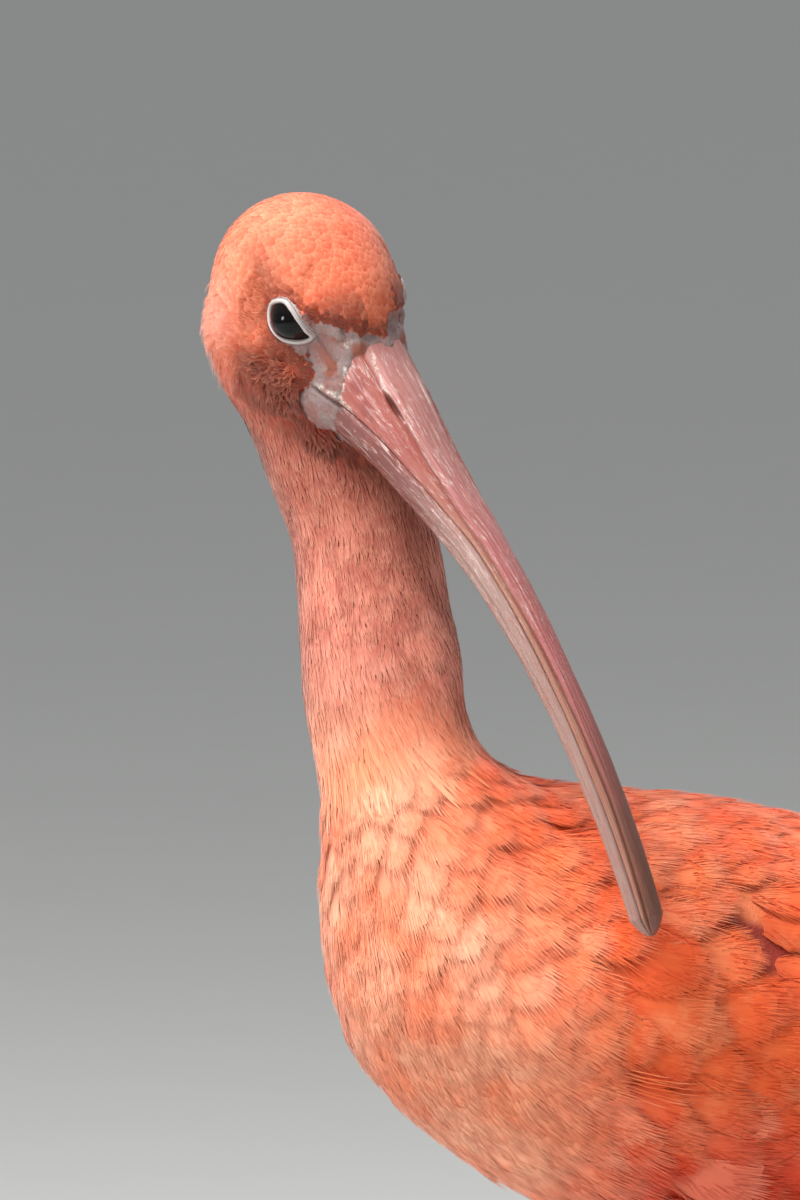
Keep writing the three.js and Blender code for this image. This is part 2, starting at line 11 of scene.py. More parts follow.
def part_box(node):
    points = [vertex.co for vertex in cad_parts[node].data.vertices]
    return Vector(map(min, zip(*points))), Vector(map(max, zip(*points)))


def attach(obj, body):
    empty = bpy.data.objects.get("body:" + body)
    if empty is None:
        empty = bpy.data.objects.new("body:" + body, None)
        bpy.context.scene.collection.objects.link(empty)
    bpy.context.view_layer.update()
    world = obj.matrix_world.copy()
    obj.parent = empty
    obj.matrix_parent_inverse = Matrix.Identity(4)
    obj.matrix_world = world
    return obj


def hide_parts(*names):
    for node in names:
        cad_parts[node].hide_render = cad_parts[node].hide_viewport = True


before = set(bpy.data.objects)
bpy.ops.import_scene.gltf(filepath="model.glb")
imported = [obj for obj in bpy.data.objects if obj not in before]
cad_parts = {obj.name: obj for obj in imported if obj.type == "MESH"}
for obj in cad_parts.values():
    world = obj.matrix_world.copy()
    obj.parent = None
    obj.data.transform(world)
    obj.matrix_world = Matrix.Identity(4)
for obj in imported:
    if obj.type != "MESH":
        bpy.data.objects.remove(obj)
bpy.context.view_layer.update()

bl_info = {
    "name": "Scarlet Ibis Model",
    "version": (1, 0, 0),
    "blender": (4, 5, 0),
    "location": "3D View > Sidebar > Ibis",
    "description": "Builds the skin, plumage, bill, eyes, legs and stage of a life-size scarlet ibis",
    "category": "Object",
}

# Named places, in millimetres. Body places count from the bird's own origin, on the floor below its
# shoulders: x runs to its left, y to its tail and z up. Head places count from a point between the eyes:
# x runs forward, y to the head's left and z up.

MM = 0.001  # in metres
HEAD_TURN = 121.4  # degrees to the left of straight ahead
HEAD_DIP = 36.7
HEAD_ROLL = 11.4
HEAD_PLACE = np.array([-2.2, -11.2, 396.2])
EYES_FROM_HEAD = np.array([-1.0, 0.0, 0.1])  # the middle of the two eyes
EYE_AHEAD = 18  # degrees that an eye faces forward of straight out

NECK_BASE = np.array([-2.5, -1.0, 309.0])
NECK_TOP = np.array([-20.5, -12.4, 374.6])
TAIL_ROOT = np.array([0.0, 193.0, 228.0])

BILL_BASE_X = 13.2
BILL_BASE_Z = -12.0
BILL_START = -8.0
BILL_LENGTH = 148.0
BILL_BEND = math.radians(38.8) / BILL_LENGTH  # per millimetre
NOSTRIL_ALONG = 16.0

# The opening between the lids, as degrees forward and up on the eyeball
LID_OUTLINE = (
    (-62, 2), (-52, -22), (-18, -36), (22, -31), (64, -12), (47, 7), (28, 23), (-2, 38), (-35, 37),
)
LID_MIDDLE = (-4, 4)

# The edge of the bare face, seen from the side, as x and z of the head
FACE_EDGE = (
    (16.0, 5.0), (13.6, 5.0), (11.6, 5.2), (9.4, 5.4), (6.0, 4.3), (3.9, 5.0), (0.0, 4.0), (0.0, -4.0),
    (2.8, -5.6), (5.6, -6.0), (7.6, -6.6), (9.6, -5.9), (10.8, -8.0), (9.7, -12.1), (8.3, -15.6),
    (7.9, -17.7), (8.4, -20.0), (10.4, -21.9), (13.0, -22.7), (18.0, -22.7), (40.0, -22.7), (40.0, 5.0),
)
LEFT_BROW_HIGHER = 2.4  # the bare skin reaches higher at the left of the forehead

# Marks of the bare face and the roots of the bill on the left side: width, then places along a line
RUSTY_SPOTS = (
    (2.1, (15.2, 6.2, 1.8)),
    (1.3, (10.4, 10.7, 1.6)),
    (1.3, (13.2, 11.2, -3.2), (13.4, 11.2, -5.0)),
)
RED_PATCHES = (
    (2.2, (20.2, 8.5, -4.0)),
    (1.6, (24.5, 8.4, -6.5), (27.0, 8.2, -7.5)),
    (1.5, (9.5, 10.5, -2.5)),
)
PALE_CRUSTS = (
    (0.5, (12.2, 8.5, 3.3), (13.1, 8.6, 2.1)),
    (0.55, (15.8, 9.4, -2.4), (16.5, 9.2, -3.9), (17.9, 10.2, -7.2)),
    (0.8, (12.3, 12.0, -9.8), (14.7, 11.3, -9.0), (17.5, 10.5, -8.8), (21.5, 10.1, -9.6)),
    (0.9, (17.9, 8.6, -18.2)),
    (0.5, (17.6, 4.6, 1.9), (21.4, 4.8, 0.3), (24.8, 5.3, -1.4), (28.2, 5.3, -2.7)),
    (0.5, (24.6, 8.0, -5.2), (26.4, 7.4, -5.6), (27.6, 7.8, -6.6)),
    (0.5, (29.5, 4.6, -2.9), (33.5, 4.0, -4.0), (38.5, 3.2, -6.0)),
)

# Where the shoulder's feathers end over the wing, on the left side of the body
SHOULDER_EDGE = ((46, 56, 260), (52, 69, 256), (54, 90, 251), (50, 120, 245))

# Heights between which one kind of plumage gives way to the next, in millimetres above the floor. At the
# top of the neck it gives way to painted shade under the head, and low on the body partly to painted shade
CROWN_OVER_CHEEK = (394, 374)
NECK_TO_HEAD = (362, 376)
NECK_TO_PAINTED_SHADE = (336, 366)
NECK_OVER_BODY = (316, 288)
BACK_OVER_DEEP_RED_AND_PAINTED_SHADE = (226, 196)
HIGH_OVER_LEG = (176, 158)

# Shares of the way up the neck, from its foot, between which the body's coat gives way to the neck's
BODY_TO_NECK = (-0.28, -0.12)

HEAD_SKIN_FROM = 0.93  # share of the way up the neck, from where the skin has finer faces
FAR_FROM_FACE = 99.0
PATCH_HALF = 0.0015  # half the width of a feather's patch on the map


# Small helpers

def rows(points):
    """Places as an array of three columns."""
    return np.asarray(points, float).reshape(-1, 3)


def smoothstep(low, high, value):
    """0 at low and 1 at high, smooth between, and the other way round where low is the greater."""
    t = np.clip((np.asarray(value, float) - low) / (high - low), 0, 1)
    return t * t * (3 - 2 * t)


def unit(vectors):
    return vectors / np.maximum(np.linalg.norm(vectors, axis=-1, keepdims=True), 1e-9)


def through(*pairs):
    """A smooth line through pairs of place and size."""
    place, size = np.array(pairs, float).T
    slope = np.empty_like(size)
    slope[1:-1] = (size[2:] - size[:-2]) / (place[2:] - place[:-2])
    slope[0] = (size[1] - size[0]) / (place[1] - place[0])
    slope[-1] = (size[-1] - size[-2]) / (place[-1] - place[-2])

    def at(value):
        x = np.clip(np.asarray(value, float), place[0], place[-1])
        i = np.clip(np.searchsorted(place, x), 1, len(place) - 1)
        width = place[i] - place[i - 1]
        t = (x - place[i - 1]) / width
        rise = t * t * (3 - 2 * t)
        leave = t * (1 - t) ** 2 * width * slope[i - 1]
        arrive = t * t * (1 - t) * width * slope[i]
        return size[i - 1] * (1 - rise) + size[i] * rise + leave - arrive

    return at


def closed_curve(points, count):
    """A smooth closed line through a few points."""
    points = np.array(points, float)
    n = len(points)
    t = np.arange(count) * n / count
    i = t.astype(int)
    f = (t - i)[:, None]
    a, b, c, d = (points[(i + k) % n] for k in (-1, 0, 1, 2))
    return 0.5 * (2 * b + (c - a) * f + (2 * a - 5 * b + 4 * c - d) * f**2 + (3 * b - a - 3 * c + d) * f**3)


def outline_distance(points, outline):
    """How far points of a plane lie outside a closed outline, negative inside."""
    outline = np.array(outline, float)
    following = np.roll(outline, -1, axis=0)
    nearest = np.full(len(points), 1e9)
    inside = np.zeros(len(points), bool)
    for a, b in zip(outline, following):
        edge = b - a
        to_point = points - a
        along = np.clip(to_point @ edge / (edge @ edge), 0, 1)
        nearest = np.minimum(nearest, np.linalg.norm(to_point - along[:, None] * edge, axis=1))
        crosses = (a[1] > points[:, 1]) != (b[1] > points[:, 1])
        rise = edge[1] if edge[1] else 1e-9
        inside ^= crosses & (points[:, 0] < a[0] + (points[:, 1] - a[1]) / rise * edge[0])
    return np.where(inside, -nearest, nearest)


def lumps(points, scale, seed):
    """Smooth random lumps from -1 to 1 over points in space, the same every time."""
    random = np.random.default_rng(seed)
    total = np.zeros(len(points))
    for _ in range(10):
        direction = unit(random.normal(size=3))
        phase = random.uniform(0, 2 * math.pi)
        stretch = random.uniform(0.7, 1.5)
        total += np.sin(points @ direction * stretch * 2 * math.pi / scale + phase)
    return total / 4.5


# Frame of the head

def head_axes():
    turn = Matrix.Rotation(math.radians(HEAD_TURN - 90), 3, "Z")
    dip = Matrix.Rotation(math.radians(HEAD_DIP), 3, "Y")
    roll = Matrix.Rotation(math.radians(HEAD_ROLL), 3, "X")
    return np.array(turn @ dip @ roll)


def box_middle(node):
    """The middle of a CAD node's box, in millimetres."""
    low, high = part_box(node)
    return np.array((low + high) / 2) / MM


HEAD_AXES = head_axes()
HEAD_CENTRE = (box_middle("eye_left") + box_middle("eye_right")) / 2 - HEAD_AXES @ EYES_FROM_HEAD
BODY_ORIGIN = HEAD_CENTRE - HEAD_PLACE
EYE_RADIUS = (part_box("eye_right")[1].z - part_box("eye_right")[0].z) / 2 / MM


def to_head(points):
    return (rows(points) - HEAD_CENTRE) @ HEAD_AXES


def from_head(points):
    return rows(points) @ HEAD_AXES.T + HEAD_CENTRE


LIDS = closed_curve(LID_OUTLINE, 48)


def eye_centre(side):
    """In the head's frame, side 1 for the left eye and -1 for the right."""
    return to_head(box_middle("eye_left" if side > 0 else "eye_right"))[0]


def eye_axes(side):
    """Forward, outward and up of one eye, in the head's frame."""
    ahead = math.radians(EYE_AHEAD)
    forward = np.array([math.cos(ahead), -side * math.sin(ahead), 0])
    outward = np.array([math.sin(ahead), side * math.cos(ahead), 0])
    return forward, outward, np.array([0.0, 0.0, 1.0])


def on_eye(angles, radius, side):
    """Points of the head's frame from degrees forward and up on a ball round the eye."""
    forward, outward, up = eye_axes(side)
    a, b = np.radians(np.asarray(angles, float)).T
    level = np.outer(np.sin(a) * np.cos(b), forward) + np.outer(np.cos(a) * np.cos(b), outward)
    return eye_centre(side) + np.asarray(radius).reshape(-1, 1) * (level + np.outer(np.sin(b), up))


def eye_angles(head_points, side):
    """Degrees forward and up of points as one eye's middle sees them, and how far they are from it."""
    forward, outward, up = eye_axes(side)
    ray = head_points - eye_centre(side)
    length = np.linalg.norm(ray, axis=1)
    ray = ray / np.maximum(length, 1e-9)[:, None]
    angles = np.degrees(np.stack([np.arctan2(ray @ forward, ray @ outward), np.arcsin(ray @ up)], axis=1))
    return angles, length


def eye_bulge(degrees):
    """How far the clear front of the eye stands out of the ball, by degrees off its middle."""
    return 0.9 * np.exp(-((np.asarray(degrees) / 30) ** 2))


def face_distance(head_points):
    """Millimetres outside the bare skin of face and lids, negative on it."""
    x, y, z = head_points.T
    higher = LEFT_BROW_HIGHER * smoothstep(0.3, 2.5, y) * smoothstep(8, 12, x)
    distance = outline_distance(np.stack([x, z - higher], axis=1), FACE_EDGE)
    for side in (1, -1):
        angles, length = eye_angles(head_points, side)
        margin = 15 - 9 * smoothstep(-25, -60, angles[:, 0])
        ring = (outline_distance(angles, LIDS) - margin) * math.radians(EYE_RADIUS)
        near = (length < 12) & (head_points[:, 1] * side > 0)
        distance = np.where(near, np.minimum(distance, ring), distance)
    return distance


# Meshes

def new_object(name, points, faces, attributes=None):
    """A mesh object at the origin from points in millimetres."""
    mesh = bpy.data.meshes.new(name)
    mesh.from_pydata((rows(points) * MM).tolist(), [], faces)
    shade_smooth(mesh)
    for key, values in (attributes or {}).items():
        add_attribute(mesh, key, values)
    mesh.update()
    thing = bpy.data.objects.new(name, mesh)
    bpy.context.scene.collection.objects.link(thing)
    return thing


def shade_smooth(mesh):
    mesh.polygons.foreach_set("use_smooth", [True] * len(mesh.polygons))


def add_attribute(mesh, name, values):
    values = np.asarray(values, np.float32)
    kind = "FLOAT" if values.ndim == 1 else "FLOAT_VECTOR"
    attribute = mesh.attributes.get(name) or mesh.attributes.new(name, kind, "POINT")
    attribute.data.foreach_set("value" if values.ndim == 1 else "vector", values.ravel())


def points_of(mesh):
    points = np.empty(len(mesh.vertices) * 3)
    mesh.vertices.foreach_get("co", points)
    return points.reshape(-1, 3) / MM


def normals_of(mesh):
    normals = np.empty(len(mesh.vertices) * 3)
    mesh.vertex_normals.foreach_get("vector", normals)
    return normals.reshape(-1, 3)


def set_points(mesh, points):
    mesh.vertices.foreach_set("co", (points * MM).ravel())
    mesh.update()


def edges_of(mesh):
    edges = np.empty(len(mesh.edges) * 2, int)
    mesh.edges.foreach_get("vertices", edges)
    return edges.reshape(-1, 2)


def spread(values, edges, rounds, share=0.5):
    """Each vertex's value drawn towards the mean of its neighbours'."""
    values = np.array(values, float)
    one = values.ndim == 1
    values = values.reshape(len(values), -1)
    share = np.broadcast_to(np.asarray(share, float).reshape(-1, 1), values.shape)
    a, b = edges.T
    both = np.concatenate([a, b])
    other = np.concatenate([b, a])
    count = np.maximum(np.bincount(both, minlength=len(values)), 1)[:, None]
    for _ in range(rounds):
        columns = [np.bincount(both, weights=column[other], minlength=len(values)) for column in values.T]
        values = values + (np.stack(columns, axis=1) / count - values) * share
    return values[:, 0] if one else values


def grid_faces(across, along, closed=True):
    """Quads of a grid with across points in each row."""
    faces = []
    steps = across if closed else across - 1
    for j in range(along - 1):
        for i in range(steps):
            k = (i + 1) % across
            faces.append((j * across + i, j * across + k, (j + 1) * across + k, (j + 1) * across + i))
    return faces


def capped_tube(name, rings, attributes=None):
    """A closed surface through rings of points, closed at both ends by a fan."""
    rings = np.asarray(rings, float)
    along, across = rings.shape[:2]
    points = np.concatenate([rings.reshape(-1, 3), rings[:1].mean(1), rings[-1:].mean(1)])
    first, last = along * across, along * across + 1
    faces = grid_faces(across, along)
    for i in range(across):
        k = (i + 1) % across
        faces.append((k, i, first))
        faces.append(((along - 1) * across + i, (along - 1) * across + k, last))
    thing = new_object(name, points, faces, attributes)
    outward(thing.data)
    return thing


def outward(mesh):
    work = bmesh.new()
    work.from_mesh(mesh)
    bmesh.ops.recalc_face_normals(work, faces=work.faces)
    work.to_mesh(mesh)
    work.free()


def applied(thing):
    """The object with its modifiers turned into plain mesh."""
    graph = bpy.context.evaluated_depsgraph_get()
    mesh = bpy.data.meshes.new_from_object(thing.evaluated_get(graph), depsgraph=graph)
    mesh.name = thing.name
    thing.modifiers.clear()
    old = thing.data
    thing.data = mesh
    bpy.data.meshes.remove(old)
    return thing


def merged_nodes(name, nodes, extra=()):
    """One object from copies of CAD nodes and other meshes."""
    work = bmesh.new()
    for node in nodes:
        work.from_mesh(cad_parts[node].data)
    for mesh in extra:
        work.from_mesh(mesh)
    bmesh.ops.remove_doubles(work, verts=work.verts, dist=0.00001)
    mesh = bpy.data.meshes.new(name)
    work.to_mesh(mesh)
    work.free()
    thing = bpy.data.objects.new(name, mesh)
    bpy.context.scene.collection.objects.link(thing)
    return thing


def remeshed(thing, voxel):
    """The object as one closed skin of even faces, their size in millimetres."""
    modifier = thing.modifiers.new("remesh", "REMESH")
    modifier.mode = "VOXEL"
    modifier.voxel_size = voxel * MM
    modifier.use_smooth_shade = True
    return applied(thing)


def refined(thing, chosen):
    """Halves every edge between two chosen vertices, and so the faces between them."""
    work = bmesh.new()
    work.from_mesh(thing.data)
    work.verts.ensure_lookup_table()
    edges = [edge for edge in work.edges if chosen[edge.verts[0].index] and chosen[edge.verts[1].index]]
    bmesh.ops.subdivide_edges(work, edges=edges, cuts=1, use_grid_fill=True)
    bmesh.ops.triangulate(work, faces=[face for face in work.faces if len(face.verts) > 4])
    work.to_mesh(thing.data)
    work.free()


def finish_piece(thing, nodes=()):
    """Gives a piece its slot under the root body and hides the CAD nodes that it stands for."""
    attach(thing, "root")
    if nodes:
        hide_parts(*nodes)


# Node trees

class Socket:
    """A node's output whose arithmetic adds Math nodes."""

    def __init__(self, tree, socket):
        self.tree = tree
        self.socket = socket

    def math(self, operation, *values):
        return self.tree.node("ShaderNodeMath", {"operation": operation}, dict(enumerate(values)))

    def __add__(self, other):
        return self.math("ADD", self, other)

    def __radd__(self, other):
        return self.math("ADD", other, self)

    def __sub__(self, other):
        return self.math("SUBTRACT", self, other)

    def __rsub__(self, other):
        return self.math("SUBTRACT", other, self)

    def __mul__(self, other):
        return self.math("MULTIPLY", self, other)

    def __rmul__(self, other):
        return self.math("MULTIPLY", other, self)

    def clipped(self):
        return self.tree.node("ShaderNodeClamp", {}, {"Value": self})


class Tree:
    """Adds nodes to a shader or geometry tree."""

    def __init__(self, tree):
        self.tree = tree

    def node(self, kind, settings=None, values=None, output=0):
        made = self.tree.nodes.new(kind)
        for key, value in (settings or {}).items():
            setattr(made, key, value)
        for key, value in (values or {}).items():
            socket = self.input_of(made, key)
            if isinstance(value, Socket):
                self.tree.links.new(value.socket, socket)
            else:
                socket.default_value = value
        if output is None:
            return made
        return Socket(self, self.output_of(made, output))

    @staticmethod
    def input_of(made, key):
        if isinstance(key, int):
            return made.inputs[key]
        for socket in made.inputs:
            if socket.identifier == key:
                return socket
        return next(socket for socket in made.inputs if socket.name == key and socket.enabled)

    @staticmethod
    def output_of(made, key):
        if isinstance(key, int):
            return [socket for socket in made.outputs if socket.enabled][key]
        return next(socket for socket in made.outputs if socket.name == key and socket.enabled)

    def vector(self, operation, *values):
        return self.node("ShaderNodeVectorMath", {"operation": operation}, dict(enumerate(values)))

    def scaled(self, vector, scale):
        return self.node("ShaderNodeVectorMath", {"operation": "SCALE"}, {"Vector": vector, "Scale": scale})


class Geometry(Tree):
    """A geometry tree with named inputs."""

    def __init__(self, name, inputs):
        super().__init__(bpy.data.node_groups.new(name, "GeometryNodeTree"))
        face = self.tree.interface
        face.new_socket("Geometry", in_out="OUTPUT", socket_type="NodeSocketGeometry")
        for label, kind in inputs:
            face.new_socket(label, in_out="INPUT", socket_type=f"NodeSocket{kind}")
        self.start = self.node("NodeGroupInput", output=None)

    def input(self, label):
        return Socket(self, self.start.outputs[label])

    def named(self, name, kind="FLOAT"):
        return self.node("GeometryNodeInputNamedAttribute", {"data_type": kind}, {"Name": name})

    def store(self, geometry, name, value, kind="FLOAT", domain="POINT"):
        settings = {"data_type": kind, "domain": domain}
        values = {"Geometry": geometry, "Name": name, "Value": value}
        return self.node("GeometryNodeStoreNamedAttribute", settings, values)

    def random(self, low, high, seed):
        values = {"Min_001": low, "Max_001": high, "Seed": seed}
        return self.node("FunctionNodeRandomValue", {"data_type": "FLOAT"}, values)

    def finish(self, geometry):
        self.node("NodeGroupOutput", {}, {"Geometry": geometry}, output=None)
        return self.tree


class Shade(Tree):
    """A material with one Principled shader."""

    def __init__(self, name, roughness=0.6, **constants):
        self.material = bpy.data.materials.new(name)
        self.material.use_nodes = True
        super().__init__(self.material.node_tree)
        self.principled = self.tree.nodes["Principled BSDF"]
        self.principled.inputs["Roughness"].default_value = roughness
        for key, value in constants.items():
            label = key.replace("_", " ").title().replace("Ior", "IOR")
            self.principled.inputs[label].default_value = value

    def set(self, label, value):
        self.tree.links.new(value.socket, self.principled.inputs[label])

    def place(self):
        """Object coordinates in millimetres."""
        return self.scaled(self.node("ShaderNodeTexCoord", output="Object"), 1 / MM)

    def attribute(self, name, output="Fac"):
        return self.node("ShaderNodeAttribute", {"attribute_name": name}, {}, output)

    def parts(self, vector):
        made = self.node("ShaderNodeSeparateXYZ", {}, {"Vector": vector}, output=None)
        return [Socket(self, socket) for socket in made.outputs]

    def joined(self, x, y, z):
        return self.node("ShaderNodeCombineXYZ", {}, {"X": x, "Y": y, "Z": z})

    def noise(self, vector, scale, detail=3.0, roughness=0.55, distortion=0.0):
        values = {"Vector": vector, "Scale": scale, "Detail": detail}
        values |= {"Roughness": roughness, "Distortion": distortion}
        return self.node("ShaderNodeTexNoise", {}, values, "Fac")

    def cells(self, vector, scale, feature="F1"):
        values = {"Vector": vector, "Scale": scale}
        return self.node("ShaderNodeTexVoronoi", {"feature": feature}, values, "Distance")

    def between(self, value, low, high):
        """0 below low and 1 above high, smooth between."""
        settings = {"interpolation_type": "SMOOTHSTEP"}
        return self.node("ShaderNodeMapRange", settings, {"Value": value, "From Min": low, "From Max": high})

    def mix(self, factor, a, b, blend="MIX"):
        settings = {"data_type": "RGBA", "blend_type": blend}
        values = {"Factor_Float": factor, "A_Color": a, "B_Color": b}
        return self.node("ShaderNodeMix", settings, values, "Result")

    def bump(self, height, strength=0.3, distance=0.0005):
        values = {"Height": height, "Strength": strength, "Distance": distance}
        self.set("Normal", self.node("ShaderNodeBump", {}, values))


def colour(red, green, blue):
    """A colour from the 0 to 255 values of a screen."""
    def linear(value):
        value = value / 255
        return value / 12.92 if value <= 0.04045 else ((value + 0.055) / 1.055) ** 2.4
    return (linear(red), linear(green), linear(blue), 1.0)


# The look of the plumage, shared by skin and coats

def plumage_colour(shade, look):
    """The colour of the feathers at each place of the bird."""
    place = shade.place()
    x, y, z = shade.parts(place)
    y = y - float(BODY_ORIGIN[1])
    patches = shade.noise(place, 0.06, 2)
    fine = shade.noise(place, 0.35, 2)
    wave = (patches - 0.5) * 16
    tufty = shade.noise(shade.vector("MULTIPLY", place, (1.0, 1.0, 0.55)), 0.16, 4, 0.6)
    neck = shade.mix(shade.between(tufty, 0.38, 0.62), look.neck, look.neck_dull)
    # the top of the neck is painted darker: painted shade under the head
    neck = shade.mix(shade.between(z + wave * 0.5, *NECK_TO_PAINTED_SHADE) * 0.85, neck, look.neck_painted_shade)
    back = shade.mix(shade.between(patches + (fine - 0.5) * 0.4, 0.4, 0.7), look.back, look.back_light)
    # deeper red low on the back and wings: partly the feathers' own colour, partly painted shade lower down
    low = shade.between(z + wave, *BACK_OVER_DEEP_RED_AND_PAINTED_SHADE) * shade.between(y, -5, 45)
    body = shade.mix(low, back, look.deep)
    # the front of the body takes the breast's lighter colours: partly its own paler feathers, partly painted
    # light where the lamps fall on the breast
    front = shade.between(y + wave * 0.7 + (z - 240) * 0.35, 44, 10)
    breast = shade.mix(shade.between(patches, 0.35, 0.65), look.breast, look.breast_light)
    body = shade.mix(front, body, breast)
    whole = shade.mix(shade.between(z + wave, *NECK_OVER_BODY), neck, body)
    crown = shade.mix(shade.between(patches, 0.3, 0.7), look.crown, look.crown_light)
    head = shade.mix(shade.between(z + wave * 0.4, *CROWN_OVER_CHEEK), crown, look.cheek)
    return shade.mix(shade.between(z + wave * 0.3, *NECK_TO_HEAD), whole, head)


def feather_material(name, look, tip=0.3, root=0.5, streaks=0.0, contrast=0.45, tip_colour=None):
    """Vanes and tufts: region colour, paler at the tip, with fine streaks along the barbs. They are darker
    towards the root, partly painted shade where feathers overlap; brown round the face, partly painted
    shade under the forehead and head; and dark red in the shoulder's gap, which is painted shade.
    """
    shade = Shade(name, roughness=0.72, sheen_weight=0.2, sheen_roughness=0.5, specular_ior_level=0.2)
    side, along, strand = shade.parts(shade.attribute("vane", "Vector"))
    tone = shade.attribute("tone")
    rim = shade.between(shade.attribute("edge"), 2.6, 0.1)
    # brown round the face: the rim's own brown, plus painted shade under the forehead and head, and partly
    # on the curly cheek
    brown_and_painted_shade = (rim * 0.8 + shade.attribute("cheek") * 1.1).clipped()
    ear = (shade.attribute("cheek") * -1.0).clipped()
    base = shade.mix(ear * 0.45, plumage_colour(shade, look), look.down)
    base = shade.mix(brown_and_painted_shade * 0.88, base, look.fringe)
    # painted shade in the gap at the shoulder's edge
    base = shade.mix(shade.between(shade.attribute("gap"), 0.4, 1.0) * 0.85, base, look.root)
    # darker towards the root: partly the feather's own colour, partly painted shade where feathers overlap
    darker_root_and_painted_shade = shade.mix(shade.between(along, 0.7, 0.05) * root, base, look.under)
    ends = shade.between(along, 0.6, 1.0) * tip * (1.0 - brown_and_painted_shade * 0.75)
    lit = shade.mix(ends, darker_root_and_painted_shade, tip_colour or look.tip)
    hairs = shade.noise(shade.joined(side * 9.0 + tone * 30.0, along * 1.3, tone * 17.0), 1.0, 4, 0.7)
    grain = shade.between(hairs, 0.3, 0.7)
    shaded = shade.mix(strand * 0.2 + grain * streaks, lit, look.shadow, "MULTIPLY")
    toned = shade.mix(tone * contrast, shaded, look.tone, "MULTIPLY")
    toned = shade.mix(shade.between(tone, 0.15, 0.0) * streaks, toned, look.tip)
    shade.set("Base Color", toned)
    shade.bump(hairs, 0.35 if streaks else 0.15, 0.0004)
    return shade.material


def marked(shade, base, look):
    """Lays the marks of the bare face over a colour."""
    rusty, red, pale = shade.parts(shade.attribute("marks", "Vector"))
    broken = shade.between(shade.noise(shade.place(), 1.6, 4, 0.65), 0.38, 0.58)
    base = shade.mix(red * 0.7, base, look.bare_red)
    base = shade.mix(rusty * 0.85, base, look.bare_spot)
    return shade.mix(pale * broken * 0.75, base, look.crust)


def skin_material(look):
    """Feather tracts in the coat's colours, and the bare face with its spots and wrinkles. Under the coat
    the skin is darkened as painted shade, more so in the shoulder's gap and, partly, under the head.
    """
    shade = Shade("ibis_skin", roughness=0.5, subsurface_weight=0.12, subsurface_scale=0.002)
    place = shade.place()
    edge = shade.attribute("edge")
    soft = shade.noise(place, 0.22, 3)
    spots = shade.noise(place, 0.5, 2)
    veins = shade.noise(place, 1.3, 4, 0.65)
    bare = shade.mix(shade.between(soft, 0.42, 0.62), look.bare, look.bare_pink)
    bare = shade.mix(shade.between(spots, 0.55, 0.75) * 0.5, bare, look.bare_pink)
    bare = shade.mix(shade.between(veins, 0.5, 0.75) * 0.35, bare, look.bare_pale)
    bare = marked(shade, bare, look)
    feathered = shade.mix(0.35, plumage_colour(shade, look), look.shadow, "MULTIPLY")
    # the same brown on the skin under the head's feathers, partly painted shade
    feathered = shade.mix(shade.attribute("cheek").clipped() * 0.8, feathered, look.fringe)
    # painted shade in the gap at the shoulder's edge
    feathered = shade.mix(shade.between(shade.attribute("gap"), 0.1, 0.4) * 0.92, feathered, look.root)
    shade.set("Base Color", shade.mix(shade.between(edge, -0.4, 0.5), bare, feathered))
    wrinkles = shade.noise(shade.vector("MULTIPLY", place, (1.0, 1.0, 0.6)), 1.6, 4, 0.6, 0.8)
    pores = shade.cells(place, 3.0)
    shade.bump(wrinkles * 0.8 + pores * 0.3, 0.5, 0.0006)
    return shade.material


def lid_material(look):
    shade = Shade("ibis_lids", roughness=0.4, subsurface_weight=0.1, subsurface_scale=0.001)
    place = shade.place()
    ring = shade.attribute("ring")
    grey = shade.mix(shade.noise(place, 0.8, 3), look.lid, look.lid_pink)
    dark = shade.between(ring, 0.42, 0.5) * shade.between(ring, 0.62, 0.53)
    rim = shade.between(ring, 0.14, 0.02)
    shade.set("Base Color", shade.mix(((dark * 0.75) + rim).clipped(), grey, look.lid_line))
    shade.bump(shade.noise(place, 2.4, 4), 0.3, 0.0003)
    return shade.material


def eye_material(look):
    shade = Shade("ibis_eye", roughness=0.03, specular_ior_level=0.22)
    off_axis = shade.attribute("off_axis")
    grain = shade.noise(shade.place(), 1.2, 3)
    iris = shade.mix(grain, look.iris, look.pupil)
    shade.set("Base Color", shade.mix(shade.between(off_axis, 26, 33), look.pupil, iris))
    return shade.material


